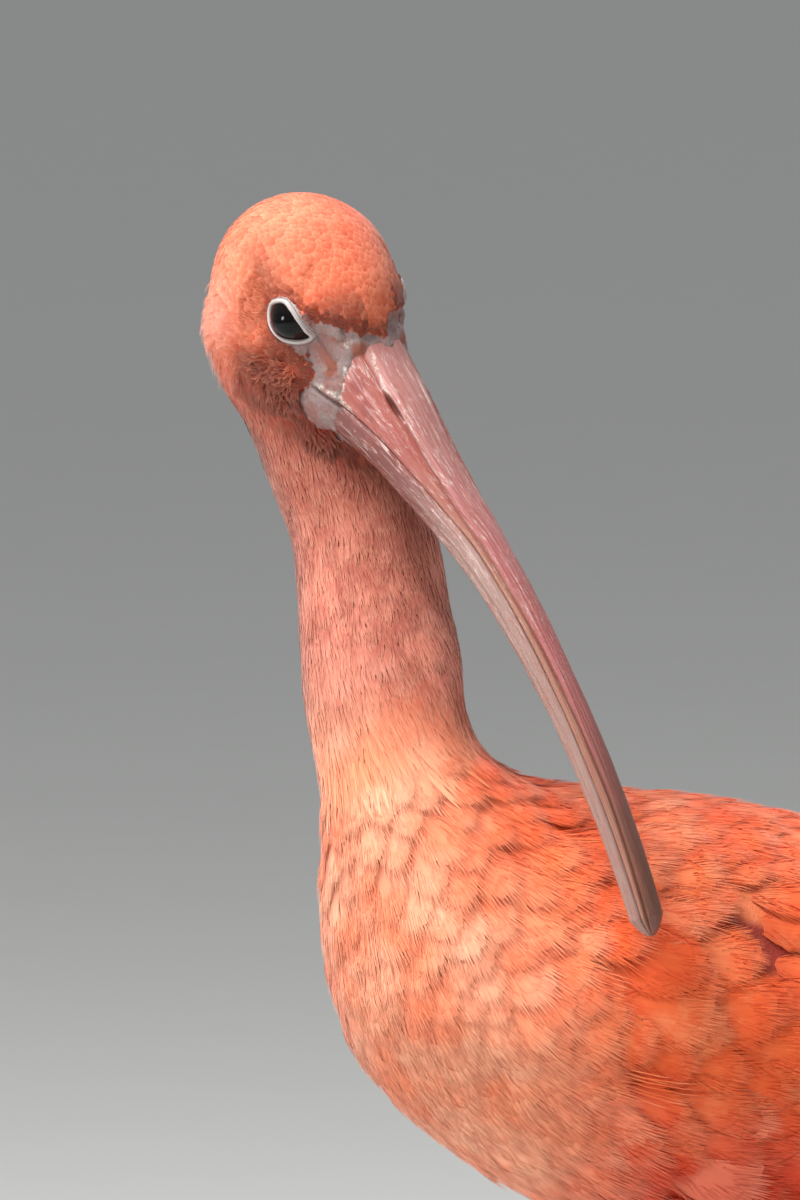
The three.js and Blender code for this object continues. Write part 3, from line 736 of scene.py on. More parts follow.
def bill_material(name, look, upper):
    """Horn in strips along the bill, flaky and pale near the base and browner at the tip, with painted shade
    in the grooves, the nostril slits and across the mouth.
    """
    shade = Shade(name, roughness=0.36, subsurface_weight=0.12, subsurface_scale=0.001, coat_weight=0.2)
    along, around, depth = shade.parts(shade.attribute("horn", "Vector"))
    zone = shade.attribute("zone")
    crack = shade.noise(shade.joined(along * 0.11, around * 1.3, 3.0), 1.0, 5, 0.68, 0.6)
    fibre = shade.noise(shade.joined(along * 0.07, around * 3.0, 5.0), 1.0, 4, 0.6)
    cloud = shade.noise(shade.joined(along * 0.16, around * 0.5, 7.0), 1.0, 3)
    if upper:
        ridge = shade.mix(shade.between(along, 20, 60), look.horn_light, look.horn)
        ridge = shade.mix(shade.between(along, 80, 135), ridge, look.horn_tip)
        flank = shade.mix(shade.between(along, 22, 62), look.horn_pink, look.horn_tan)
        base = shade.mix(shade.between(zone, -2.5, 2.5), flank, ridge)
        near = shade.between(zone, -16, 4) * shade.between(zone, 40, 16)
    else:
        base = shade.mix(shade.between(along, 22, 56), look.horn_dark, look.horn_grey)
        near = 0.55 + shade.between(along, 20, 45) * 0.45
    base = shade.mix(shade.between(cloud, 0.4, 0.7) * 0.35, base, look.horn_pink)
    fading = shade.between(along, 122, 30)
    pale = shade.between(crack, 0.55, 0.66) * fading * (0.25 + near * 0.75)
    flake = shade.noise(shade.joined(along * 0.4, around * 2.4, 9.0), 1.0, 5, 0.7)
    flaky = shade.between(flake, 0.54, 0.6) * shade.between(cloud, 0.42, 0.56)
    flaky = flaky * shade.between(along, 105, 60)
    base = shade.mix((pale * 0.75 + flaky * 0.55).clipped(), base, look.horn_pale)
    base = shade.mix(shade.between(fibre, 0.52, 0.68) * 0.3, base, look.horn_line_and_painted_shade)
    base = marked(shade, base, look)
    # painted shade in grooves, nostril slits and across the mouth
    base = shade.mix(shade.between(depth, 0.25, 0.8) * 0.75, base, look.horn_line_and_painted_shade)
    shade.set("Base Color", base)
    shade.set("Roughness", 0.3 + shade.between(crack, 0.4, 0.7) * 0.25)
    shade.bump(crack * 0.8 + fibre * 0.5, 0.5, 0.0006)
    return shade.material


def leg_material(look):
    shade = Shade("ibis_leg_skin", roughness=0.5, coat_weight=0.1)
    place = shade.place()
    plates = shade.cells(place, 0.55, "DISTANCE_TO_EDGE")
    tint = shade.noise(place, 0.1, 3)
    base = shade.mix(tint, look.leg, look.leg_pale)
    seams = shade.between(plates, 0.09, 0.0)
    shade.set("Base Color", shade.mix(seams * 0.6, base, look.leg_seam))
    shade.bump(shade.between(plates, 0.0, 0.14), 0.6, 0.0004)
    return shade.material


def claw_material(look):
    shade = Shade("ibis_claw", roughness=0.35, coat_weight=0.2)
    place = shade.place()
    grain = shade.noise(shade.vector("MULTIPLY", place, (1.0, 0.3, 1.0)), 1.2, 3)
    shade.set("Base Color", shade.mix(grain, look.claw, look.claw_pale))
    shade.bump(grain, 0.3, 0.0003)
    return shade.material


# Settings

def colour_setting(label, text, *screen):
    return bpy.props.FloatVectorProperty(
        name=label, description=text, default=colour(*screen), subtype="COLOR", size=4,
    )


def size_setting(label, text, value):
    return bpy.props.FloatProperty(name=label, description=text, default=value, unit="LENGTH", precision=4)


class IbisColours(bpy.types.PropertyGroup):
    crown: colour_setting("Crown", "Feathers of the crown", 244, 130, 92)
    crown_light: colour_setting("Crown, light", "Lighter feathers of the crown", 250, 154, 116)
    cheek: colour_setting("Cheek", "Feathers of cheek and chin", 210, 114, 90)
    # also laid as painted shade under the forehead's lobe and under the head
    fringe: colour_setting("Face fringe", "Short feathers round the bare face", 112, 60, 48)
    neck: colour_setting("Neck", "Feathers of the neck", 218, 140, 120)
    # painted shade under the head, on the top of the neck
    neck_painted_shade: colour_setting("Neck, top", "Feathers of the neck below the head", 160, 88, 72)
    neck_dull: colour_setting("Neck, dull", "Duller feathers of the neck", 184, 108, 92)
    back: colour_setting("Back", "Feathers of mantle and scapulars", 252, 118, 60)
    back_light: colour_setting("Back, light", "Lighter feathers of the back", 255, 150, 96)
    # on the front of the body these lighter colours are partly painted light
    breast: colour_setting("Breast", "Feathers of the breast", 255, 164, 120)
    breast_light: colour_setting("Breast, light", "Lighter feathers of the breast", 255, 192, 154)
    # low on the body this deeper red is partly painted shade
    deep: colour_setting("Deep red", "Feathers low on the wing and body", 226, 64, 26)
    # painted shade in the gap at the shoulder's edge
    root: colour_setting("Feather root", "Shade in the gap at the shoulder", 150, 36, 22)
    # partly painted shade where feathers overlap
    under: colour_setting("Hidden part", "The hidden part of a feather", 204, 74, 44)
    down: colour_setting("Ear and down", "Pale feathers of the ear and loose hairs", 252, 206, 188)
    tip: colour_setting("Feather tip", "The frayed end of a feather", 255, 190, 156)
    shadow: colour_setting("Between barbs", "Shade between the barbs", 222, 128, 100)
    tone: colour_setting("Tone", "Tint of the darker feathers", 228, 168, 150)
    ink: colour_setting("Wing tip", "Ends of the outer primaries", 24, 20, 26)
    bare: colour_setting("Bare face", "Bare skin of the face", 148, 124, 120)
    bare_pink: colour_setting("Bare face, pink", "Pink patches of bare skin", 152, 102, 96)
    bare_pale: colour_setting("Bare face, pale", "Pale flakes of bare skin", 186, 170, 167)
    bare_spot: colour_setting("Face spot", "Rusty spots of bare skin", 152, 78, 54)
    bare_red: colour_setting("Face patch", "Dark pink patches of bare skin", 142, 66, 60)
    crust: colour_setting("Crust", "Pale crusts where skin meets horn", 222, 212, 198)
    lid: colour_setting("Lid", "Eyelids", 202, 196, 194)
    lid_pink: colour_setting("Lid, pink", "Eyelids where they are pinker", 188, 170, 166)
    lid_line: colour_setting("Lid line", "Thin dark line of the lids", 96, 72, 66)
    membrane: colour_setting("Membrane", "Third eyelid at the eye's corner", 124, 118, 108)
    iris: colour_setting("Iris", "Iris", 22, 14, 12)
    pupil: colour_setting("Pupil", "Pupil", 7, 6, 7)
    horn: colour_setting("Bill", "Horn of the bill's ridge", 176, 104, 102)
    horn_light: colour_setting("Bill, light", "Horn at the root of the ridge", 184, 124, 118)
    horn_pink: colour_setting("Bill, pink", "Horn at the root of the sides", 166, 88, 78)
    horn_tan: colour_setting("Bill, tan", "Horn of the sides farther out", 168, 116, 96)
    horn_dark: colour_setting("Bill, dark", "Root of the lower half", 124, 64, 58)
    horn_grey: colour_setting("Bill, grey", "Lower half farther out", 166, 132, 122)
    horn_pale: colour_setting("Bill, pale", "Pale flakes of horn", 224, 200, 192)
    # also painted shade in grooves, nostril slits and across the mouth
    horn_line_and_painted_shade: colour_setting("Bill line", "Grooves and cracks of horn", 116, 62, 52)
    horn_tip: colour_setting("Bill tip", "Horn towards the tip", 120, 78, 62)
    leg: colour_setting("Leg", "Skin of leg and foot", 196, 100, 88)
    leg_pale: colour_setting("Leg, pale", "Paler skin of leg and foot", 212, 132, 118)
    leg_seam: colour_setting("Leg seam", "Skin between the scales", 120, 58, 52)
    claw: colour_setting("Claw", "Claws", 44, 34, 32)
    claw_pale: colour_setting("Claw, pale", "Paler streaks of the claws", 84, 64, 58)
    floor: colour_setting("Floor", "Plain floor", 214, 214, 210)


class IbisSizes(bpy.types.PropertyGroup):
    voxel: size_setting("Skin grain", "Size of the skin's faces over the body", 0.0014)
    crown_spacing: size_setting("Crown spacing", "Between feathers of the head", 0.0011)
    cheek_spacing: size_setting("Cheek spacing", "Between the curly feathers of the cheek", 0.0008)
    neck_spacing: size_setting("Neck spacing", "Between feathers of the neck", 0.0019)
    body_spacing: size_setting("Body spacing", "Between feathers of the body", 0.0046)
    seed: bpy.props.IntProperty(name="Seed", description="Start of every random draw", default=7)


def sizes():
    return bpy.context.scene.ibis_sizes


def colours():
    return bpy.context.scene.ibis_colours


# Surfaces that the feathers follow

wing_height = through((-12, 240), (45, 236), (100, 229), (160, 225), (200, 224), (282, 216))
wing_half_width = through((-12, 38), (10, 52), (45, 60), (90, 61), (130, 57), (190, 41), (282, 13))
wing_half_height = through((-12, 34), (10, 45), (45, 52), (90, 52), (130, 46), (190, 27), (282, 10))
WING_FRONT = -3.0
WING_LENGTH = 190.0
WING_LOW = -30.0
WING_HIGH = 85.0


def wing_surface(y, degrees, lift):
    """Points on the left wing's outer surface and their normals, counted from the bird's origin."""
    y, degrees, lift = np.broadcast_arrays(*(np.asarray(v, float) for v in (y, degrees, lift)))
    angle = np.radians(degrees)
    width, height = wing_half_width(y), wing_half_height(y)
    normal = np.stack([np.cos(angle) / width, np.zeros_like(angle), np.sin(angle) / height], axis=-1)
    normal = unit(normal)
    point = np.stack([width * np.cos(angle), y, wing_height(y) + height * np.sin(angle)], axis=-1)
    return point + normal * lift[..., None], normal


def wing_core(side):
    """The arm and the roots of the flight feathers, under the coverts."""
    across_count, along_count = 40, 36
    middle = (WING_LOW + WING_HIGH) / 2
    half = (WING_HIGH - WING_LOW) / 2
    rings = []
    for j in range(1, along_count):
        share = j / along_count
        swell = math.sin(math.pi * share) ** 0.6
        turn = np.arange(across_count) / across_count
        outer = turn < 0.5
        across = np.where(outer, 1 - 4 * turn, 4 * turn - 3)
        crest = np.sqrt(np.maximum(0, 1 - across * across))
        y = WING_FRONT + WING_LENGTH * (1 - math.cos(math.pi * share)) / 2
        top = -0.4 - 4.2 * smoothstep(85, 128, y) - 9 * (1 - swell) - 9 * smoothstep(38, -6, y)
        lift = np.where(outer, top, top - (0.4 + 12 * np.maximum(crest, 0.15)) * swell)
        rings.append(wing_surface(y, middle + across * half * swell, lift)[0])
    rings = np.array(rings)
    rings[..., 0] = np.maximum(rings[..., 0], 0.0)
    rings[..., 0] *= side
    return capped_tube("wing_core", rings + BODY_ORIGIN)


# Form of the bill

bill_up = through(
    (-8, 18), (0, 17), (8, 14.2), (17, 11.6), (30, 7.6), (42, 5.8), (66, 5), (92, 4.3), (120, 4), (148, 3.6),
)
bill_down = through(
    (-8, 11), (0, 11), (17, 9.3), (30, 8.8), (42, 7.4), (56, 5.8), (92, 4.4), (120, 4), (148, 3.6),
)
bill_half = through(
    (-8, 12), (0, 11.4), (17, 9.2), (30, 7.7), (42, 6.6), (66, 5.3), (92, 4.5), (120, 4.2), (148, 3.9),
)
mouth_height = through((-8, 1), (0, 1.3), (17, 2.6), (40, 1.8), (92, 0.8), (148, 0.6))
groove_angle = through((0, 60), (14, 55), (30, 56), (52, 37), (114, 40), (148, 30))
bill_turn = through((0, 0), (26, 0), (40, 8), (54, 22), (148, 22))  # of its markings, in degrees


def bill_place(along, left, up):
    """Points of the head's frame, from places along the bent bill, left of it and above its middle."""
    angle = BILL_BEND * along
    x = BILL_BASE_X + np.sin(angle) / BILL_BEND + up * np.sin(angle)
    z = BILL_BASE_Z - (1 - np.cos(angle)) / BILL_BEND + up * np.cos(angle)
    return np.stack([x, left + 0 * angle, z], axis=-1)


def neck_share(points):
    """0 at the foot of the neck, 1 at its top and more over the head."""
    axis = NECK_TOP - NECK_BASE
    return (points - BODY_ORIGIN - NECK_BASE) @ axis / (axis @ axis)


def head_share(points):
    """How far up the neck points are, with the throat counted to the head: over 1 on the head."""
    return neck_share(points) + 0.01 * to_head(points)[:, 0]


def lie_of_feathers(points, normals, edges):
    """The way the feathers point at each vertex of the skin."""
    place = points - BODY_ORIGIN
    head = to_head(points)
    up_neck = neck_share(points)
    backward = -HEAD_AXES[:, 0]
    upward = HEAD_AXES[:, 2]
    down_neck = unit(NECK_BASE - NECK_TOP)
    on_head = smoothstep(0.98, 1.16, head_share(points))
    cheek = smoothstep(-4, -14, head[:, 2])
    nape = smoothstep(-12, -30, head[:, 0])
    head_way = backward - np.outer(cheek, upward) * 0.5 + np.outer(nape, down_neck) * 1.6
    back_way = np.stack([
        place[:, 0] * 0.004, np.ones(len(place)), -0.25 + 0.003 * (place[:, 2] - 230),
    ], axis=1)
    front = smoothstep(45, -5, place[:, 1])
    body_way = unit(back_way * (1 - 0.55 * front[:, None]) + np.outer(front, (0.0, 0.1, -0.8)))
    leg = smoothstep(178, 165, place[:, 2])[:, None]
    body_way = body_way * (1 - leg) + np.array([0.0, 0.25, -1.0]) * leg
    on_neck = smoothstep(-0.25, 0.15, up_neck)[:, None]
    way = body_way * (1 - on_neck) + down_neck * on_neck
    way = way * (1 - on_head[:, None]) + head_way * on_head[:, None]
    for _ in range(3):
        way = way - normals * np.sum(way * normals, axis=1, keepdims=True)
        way = spread(unit(way), edges, rounds=12)
    return unit(way - normals * np.sum(way * normals, axis=1, keepdims=True))


def socket_shape(head, side):
    """Opens the skin over the eye and swells it round the lids."""
    angles, length = eye_angles(head, side)
    near = (length < 14) & (head[:, 1] * side > 0)
    outside = outline_distance(angles, LIDS)
    floor = EYE_RADIUS - 1.6
    rim = EYE_RADIUS + 0.45
    target = floor + (rim - floor) * smoothstep(3, 11, outside)
    keep = smoothstep(12, 34, outside)
    wanted = target * (1 - keep) + length * keep
    wanted = np.where(outside < 3, np.minimum(wanted, floor), wanted)
    wanted = np.where(outside > 12, np.maximum(wanted, EYE_RADIUS + 0.6), wanted)
    ray = (head - eye_centre(side)) / np.maximum(length, 1e-9)[:, None]
    moved = eye_centre(side) + ray * wanted[:, None]
    return np.where(near[:, None], moved, head)


def along_bill(head):
    """Millimetres along the bill and up from its middle line, of points of the head's frame."""
    x, z = head[:, 0] - BILL_BASE_X, head[:, 2] - BILL_BASE_Z + 1 / BILL_BEND
    return np.arctan2(x, z) / BILL_BEND, np.hypot(x, z) - 1 / BILL_BEND


# Where the skin ends on the bill, by degrees up from level, and how far it stands out of the horn, by the
# millimetres past that end
skin_end = through((-90, 5.0), (-10, 5.4), (8, 4.8), (30, 3.2), (50, 0.8), (62, 1.0), (75, 2.8), (90, 3.8))
sleeve_depth = through((-9, 0.9), (-3, 0.65), (-0.7, 0.35), (0.3, 0.08), (1.2, -0.6), (4, -1.3), (9, -1.6))


def sleeve_shape(head, edge):
    """Draws the skin over the roots of the bill, where it ends in an uneven edge."""
    along, up = along_bill(head)
    wide = bill_half(along)
    tall = np.where(up > 0, bill_up(along), bill_down(along))
    ratio = np.maximum(np.hypot(head[:, 1] / wide, up / tall), 0.05)
    degrees = np.degrees(np.arctan2(up / tall, np.abs(head[:, 1]) / wide))
    beyond = along - skin_end(degrees) - 0.4 * lumps(head, 4.0, 21) - 0.1 * lumps(head, 1.6, 22)
    radius = np.hypot(head[:, 1], up) / ratio
    target = 1 + sleeve_depth(beyond) / radius
    forced = smoothstep(-5, -1.5, beyond) * smoothstep(1.5, -0.5, edge)
    wanted = np.maximum(ratio, target) * (1 - forced) + target * forced
    near = smoothstep(1.75, 1.4, ratio) * (head[:, 0] > 4)
    wanted = wanted * near + ratio * (1 - near)
    return bill_place(along, head[:, 1] * wanted / ratio, up * wanted / ratio)


def sleeve_core():
    """Flesh round the roots of the bill for the skin to be drawn from."""
    turn = np.linspace(0, 2 * math.pi, 48, endpoint=False)
    rings = []
    for along in np.linspace(-4, 11, 16):
        tall = np.where(np.sin(turn) > 0, bill_up(along), bill_down(along)) + 0.4
        left, up = (bill_half(along) + 0.4) * np.cos(turn), tall * np.sin(turn)
        rings.append(from_head(bill_place(np.full(48, along), left, up)))
    return capped_tube("sleeve_core", rings)


def line_distance(points, line):
    """Millimetres from points to a line through a few places."""
    line = [*line, line[-1]]
    nearest = np.full(len(points), 1e9)
    for a, b in zip(line[:-1], line[1:]):
        a, edge = np.array(a), np.array(b) - np.array(a)
        along = np.clip((points - a) @ edge / max(edge @ edge, 1e-9), 0, 1)
        nearest = np.minimum(nearest, np.linalg.norm(points - a - along[:, None] * edge, axis=1))
    return nearest


def face_marks(head):
    """How strongly rusty spots, red patches and pale crusts show at points of face and bill."""
    points = np.stack([head[:, 0], np.abs(head[:, 1]), head[:, 2]], axis=1)
    points = points + 0.35 * np.stack([lumps(head, 2.5, seed) for seed in (31, 32, 33)], axis=1)
    marks = []
    for group in (RUSTY_SPOTS, RED_PATCHES, PALE_CRUSTS):
        strength = np.zeros(len(head))
        for width, *line in group:
            strength = np.maximum(strength, smoothstep(1.25, 0.55, line_distance(points, line) / width))
        marks.append(strength)
    return np.stack(marks, axis=1)


def face_shape(head, edge):
    """Folds of the bare face, lobes of the forehead and the rough cheek, as height in millimetres."""
    x, y, z = head.T
    wide = np.abs(y)
    height = np.zeros(len(head))
    lobe = np.exp(-(((x - 9) / 6) ** 2) - (wide / 10) ** 2) * smoothstep(0, 5, z)
    height += 1.2 * lobe * smoothstep(-0.2, 1.2, edge)
    furrow = np.exp(-(((x + 0.5 * (z - 6) - 1.2) / 1.3) ** 2)) * smoothstep(5, 8, wide)
    height -= 0.5 * furrow * smoothstep(3, 6, z) * smoothstep(17, 12, z)
    cheek = np.exp(-(((x - 5) / 5) ** 2) - ((z + 12) / 6) ** 2) * smoothstep(-0.3, 1.0, edge)
    height += 1.1 * cheek
    bare = smoothstep(0.4, -0.6, edge)
    lore = np.exp(-(((x - 12.5) / 4) ** 2) - ((z - 3) / 4) ** 2) * smoothstep(2.5, 5.5, wide)
    height += 1.3 * lore
    along, up = along_bill(head)
    from_mouth = up - mouth_height(along)
    gape = smoothstep(-3.2, -1.2, along) * smoothstep(3, 6, wide)
    lip = 0.55 * np.exp(-(((from_mouth - 1.1) / 0.55) ** 2))
    height += (lip - 1.5 * np.exp(-((from_mouth / 0.4) ** 2))) * gape
    height += 0.3 * np.exp(-(((from_mouth + 0.9) / 0.5) ** 2)) * gape
    height += 0.9 * np.exp(-(((x - 12.5) / 4) ** 2) - ((z + 16.5) / 4) ** 2) * bare
    height += 0.14 * lumps(head * (1, 1, 1.6), 3.2, 3) * bare
    height += 0.08 * lumps(head, 1.3, 4) * bare
    return height


# Length of the feathers, by the share of the way up the neck
feather_size = through(
    (-0.6, 21), (-0.25, 15), (0, 9.5), (0.4, 7.2), (1.0, 5.0), (1.15, 3.2), (1.3, 2.4),
)


class IBIS_OT_skin(bpy.types.Operator):
    """Build the one skin that lies under the whole coat and shows on the face"""

    bl_idname = "ibis.skin"
    bl_label = "Skin"

    def execute(self, context):
        cores = [wing_core(1), wing_core(-1), sleeve_core()]
        nodes = ["torso", "neck_lower", "neck_upper", "head", "thigh_left", "thigh_right"]
        skin = merged_nodes("skin", nodes + ["eye_left", "eye_right"], [core.data for core in cores])
        for core in cores:
            bpy.data.objects.remove(core)
        remeshed(skin, sizes().voxel / MM)
        points = points_of(skin.data)
        on_body = smoothstep(-0.1, -0.35, neck_share(points)) * smoothstep(160, 180, points[:, 2])
        points = spread(points, edges_of(skin.data), rounds=60, share=0.5 * on_body)
        set_points(skin.data, spread(points, edges_of(skin.data), rounds=14))
        points = points_of(skin.data)
        refined(skin, head_share(points) > HEAD_SKIN_FROM)
        points = points_of(skin.data)
        refined(skin, (head_share(points) > HEAD_SKIN_FROM) & (face_distance(to_head(points)) < 2.5))
        shade_smooth(skin.data)
        self.sculpt(skin.data)
        self.mark(skin.data)
        self.unwrap(context, skin)
        skin.data.materials.append(skin_material(colours()))
        finish_piece(skin, nodes)
        return {"FINISHED"}

    def sculpt(self, mesh):
        """Lowers the skin by the depth of the coat and shapes the face."""
        edges = edges_of(mesh)
        points = spread(points_of(mesh), edges, rounds=8)
        set_points(mesh, points)
        place = points - BODY_ORIGIN
        head = to_head(points)
        up_neck = neck_share(points)
        on_head = smoothstep(0.94, 1.04, head_share(points))
        edge = np.where(on_head > 0, face_distance(head), FAR_FROM_FACE)
        depth = 2.8 - 2.7 * smoothstep(-0.3, 0.1, up_neck) - 0.3 * on_head
        depth = depth + 1.8 * self.gap(place, 6.0)
        leg = smoothstep(172, 160, points[:, 2])
        depth = depth * (1 - leg) + 1.2 * leg
        depth = depth * np.where(on_head > 0, smoothstep(-0.2, 2.0, edge), 1)
        breast = smoothstep(30, -20, place[:, 1]) * np.exp(-(((place[:, 2] - 222) / 42) ** 2))
        depth -= 6.5 * breast
        ruff = np.exp(-np.sum(((head - (-18.5, 0, -22.5)) * (1, 0, 1) / 8.5) ** 2, axis=1))
        depth -= 3.9 * ruff * smoothstep(2, 9, np.abs(head[:, 1]))
        points = points - normals_of(mesh) * depth[:, None]
        set_points(mesh, points)
        head = to_head(points)
        movable = on_head[:, None] > 0
        for side in (1, -1):
            head = np.where(movable, socket_shape(head, side), head)
        head = np.where(movable, sleeve_shape(head, edge), head)
        points = from_head(head)
        set_points(mesh, points)
        height = face_shape(head, edge) * on_head
        set_points(mesh, points + normals_of(mesh) * height[:, None])

    def gap(self, place, width):
        """How near points are to the gap at the shoulder's edge, from 0 to 1."""
        points = np.stack([np.abs(place[:, 0]), place[:, 1], place[:, 2]], axis=1)
        return np.exp(-((line_distance(points, SHOULDER_EDGE) / width) ** 2))

    def mark(self, mesh):
        """Stores what the coat and the material read from the skin."""
        points = points_of(mesh)
        place = points - BODY_ORIGIN
        head = to_head(points)
        up_neck = neck_share(points)
        up_head = head_share(points)
        on_head = smoothstep(1.0, 1.1, up_head)
        edge = np.where(up_head > 0.9, face_distance(head), FAR_FROM_FACE)
        gap = self.gap(place, 5.0)
        above_body = smoothstep(*BODY_TO_NECK, up_neck)
        across, back, height = np.abs(place[:, 0]), place[:, 1], place[:, 2]
        leg = smoothstep(*HIGH_OVER_LEG, height)
        wing = smoothstep(22, 40, back) * smoothstep(24, 32, across)
        wing = wing * smoothstep(272, 262, height) * smoothstep(194, 204, height)
        size = feather_size(up_neck)
        near_face = np.minimum(size, 1.7 + 0.3 * np.maximum(edge, 0))
        size = np.where(up_head > 1.0, near_face, size)
        size = size * (1 - leg) + 11 * leg
        size = size * (1 - 0.6 * self.gap(place, 8.0))
        attributes = {
            "edge": edge,
            "gap": gap,
            "marks": face_marks(head),
            "lie": lie_of_feathers(points, normals_of(mesh), edges_of(mesh)),
            "feather_size": size * (1 + 0.35 * wing),
            **self.head_tracts(head, edge, up_head, on_head),
            "neck_tract": above_body * (1 - on_head) * smoothstep(-0.1, 0.3, edge),
        }
        on_body = (1 - above_body) * (1 - leg) * (1 - smoothstep(0.45, 0.8, gap))
        front = smoothstep(32, 26, back + 0.2 * (height - 240))
        upper = smoothstep(-3, 3, height - 196 - 30 * smoothstep(60, 180, back)) * (1 - front)
        attributes |= {
            "breast_tract": on_body * front,
            "covert_tract": on_body * upper * wing,
            "back_tract": on_body * upper * (1 - wing),
            "belly_tract": on_body * (1 - upper) * (1 - front),
            "leg_tract": leg * smoothstep(132, 136, height),
        }
        for name, values in attributes.items():
            add_attribute(mesh, name, values)

    def head_tracts(self, head, edge, up_head, on_head):
        """Where each coat of the head grows, and how brown the cheek and how pale the ear is. The band under
        the forehead's lobe and the low cheek under the head are painted shade, and the curly cheek tuft's
        brown is partly painted shade.
        """
        x, y, z = head.T
        feathered = smoothstep(-0.1, 0.3, edge)
        inside_bill = smoothstep(17.5, 15.5, x)
        curly = np.exp(-(((x - 4.0) / 6.2) ** 2) - ((z + 14.5) / 6.5) ** 2) * (x < 12)
        # painted shade under the head, on the low cheek
        low_cheek_painted_shade = smoothstep(-8, -14, z - 0.25 * x) * smoothstep(-13, -5, x) * smoothstep(-29, -24, z)
        # painted shade under the forehead's lobe
        brow_painted_shade = smoothstep(9, 2, edge) * smoothstep(3, 8, x) * smoothstep(0, 4, z)
        temple = np.exp(-(((x + 11) / 7) ** 2) - ((z - 6.5 + 0.1 * x) / 3) ** 2)
        cheek = np.maximum(np.maximum(curly, 0.85 * low_cheek_painted_shade), np.maximum(0.75 * brow_painted_shade, 0.55 * temple))
        cheek = cheek * (np.abs(y) > 4) * smoothstep(0.93, 1.02, up_head)
        ear = np.exp(-(((x + 17) / 7) ** 2) - ((z + 12) / 8) ** 2)
        ruff = np.exp(-np.sum(((head - (-17, 0, -16)) * (1, 0, 1) / 10) ** 2, axis=1)) * (np.abs(y) > 5)
        rim = smoothstep(-0.5, -0.2, edge) * (edge < 1.7) * smoothstep(0.94, 1.0, up_head)
        return {
            "cheek": cheek - ear * on_head,
            "cheek_tract": smoothstep(0.25, 0.6, curly) * feathered * on_head,
            "ruff_tract": smoothstep(0.2, 0.6, ruff),
            "head_tract": on_head * feathered * inside_bill,
            "fringe_tract": rim * inside_bill,
        }

    def unwrap(self, context, skin):
        """The map on which every tuft is a small patch at its root."""
        context.view_layer.objects.active = skin
        skin.select_set(True)
        skin.data.uv_layers.new(name="OFBake")
        bpy.ops.object.mode_set(mode="EDIT")
        bpy.ops.mesh.select_all(action="SELECT")
        bpy.ops.uv.smart_project(angle_limit=math.radians(66), island_margin=0.002)
        bpy.ops.object.mode_set(mode="OBJECT")
        skin.select_set(False)


# Tufts and feathers, one unit long, lying along +y with +z away from the skin

def tuft_mesh(name, strands, width, seed, rise=0.1, frizz=0.05, curl=0.0, thick=0.9):
    """A tuft of tapered strands."""
    random = np.random.default_rng(seed)
    points, faces, vane, height = [], [], [], []
    for i in range(strands):
        share = 2 * i / (strands - 1) - 1
        length = 1 - 0.34 * share * share + random.uniform(-0.12, 0.06)
        root, end = share * width * 0.3, share * width * 0.55 + random.uniform(-frizz, frizz)
        half = width / strands * thick
        shade = random.uniform(0, 1)
        lift = random.uniform(-0.012, 0.02)
        start = len(points)
        for t, wide in ((0.0, 0.8), (0.45, 1.0), (0.8, 0.8), (1.0, 0.0)):
            x = root + (end - root) * t**1.3 + curl * math.sin(5 * t + 9 * shade) * t
            z = rise * math.sin(t * 1.9) * (1 - 0.35 * share * share) + lift * t + curl * t * t
            for side in (-1, 1) if wide else (0,):
                points.append((x + side * half * wide, length * t - 0.04 * abs(share), z))
                vane.append((share, t, shade))
                height.append(z - 0.015)
        for k in (0, 2):
            faces.append((start + k, start + k + 1, start + k + 3, start + k + 2))
        faces.append((start + 4, start + 5, start + 6))
    return unit_object(name, points, faces, vane, height)


def feather_mesh(name, hairs, width, seed, rise=0.12, fringe=0.26):
    """A rounded vane whose rim frays into fine hairs, with a few more over its face."""
    random = np.random.default_rng(seed)
    stations = 6
    reach = 0.76
    points, faces, vane, height = [], [], [], []

    def half_width(t):
        rounding = math.sqrt(max(0.0, 1 - max(0.0, (t - 0.36) / 0.5) ** 2))
        return width / 2 * (0.45 + 0.55 * min(1, t * 2.6)) * rounding

    def surface(x, t):
        return rise * math.sin(min(t, 1.05) * 1.75) - 0.35 * x * x

    for j in range(stations):
        t = reach * j / (stations - 1)
        for side in (-1, 0, 1):
            x = side * half_width(t) * 0.9
            points.append((x, t, surface(x, t)))
            vane.append((side, t, 0.3))
            height.append(surface(x, t) - 0.01)
    for j in range(stations - 1):
        for i in (0, 1):
            a = j * 3 + i
            faces.append((a, a + 1, a + 4, a + 3))
    for i in range(hairs):
        share = (i + random.uniform(0.2, 0.8)) / hairs * 2 - 1
        inner = 1.0 if i % 4 else random.uniform(0.35, 0.85)
        t = 0.14 + (reach - 0.14) * math.sin((1 - abs(share)) * math.pi / 2) ** 0.8
        x = math.copysign(half_width(min(t, reach)) * min(1, abs(share) * 2.2), share) * 0.93 * inner
        t = t * (0.75 + 0.25 * inner)
        fan = share * 0.5 + random.uniform(-0.09, 0.09)
        way = np.array([math.sin(fan), math.cos(fan)])
        across = np.array([way[1], -way[0]])
        base = np.array([x, t]) - way * fringe * 0.45
        tip = base + way * fringe * (1.45 + random.uniform(-0.5, 0.35))
        half = 0.95 / hairs
        shade = random.uniform(0, 1)
        start = len(points)
        rise_of_hair = random.uniform(0.004, 0.016)
        for corner in (base - across * half, base + across * half, tip):
            z = surface(corner[0], corner[1]) + rise_of_hair + (0.01 if corner is tip else 0)
            points.append((corner[0], corner[1], z))
            vane.append((corner[0] * 2 / width, corner[1], shade))
            height.append(z - 0.01)
        faces.append((start, start + 1, start + 2))
    return unit_object(name, points, faces, vane, height)


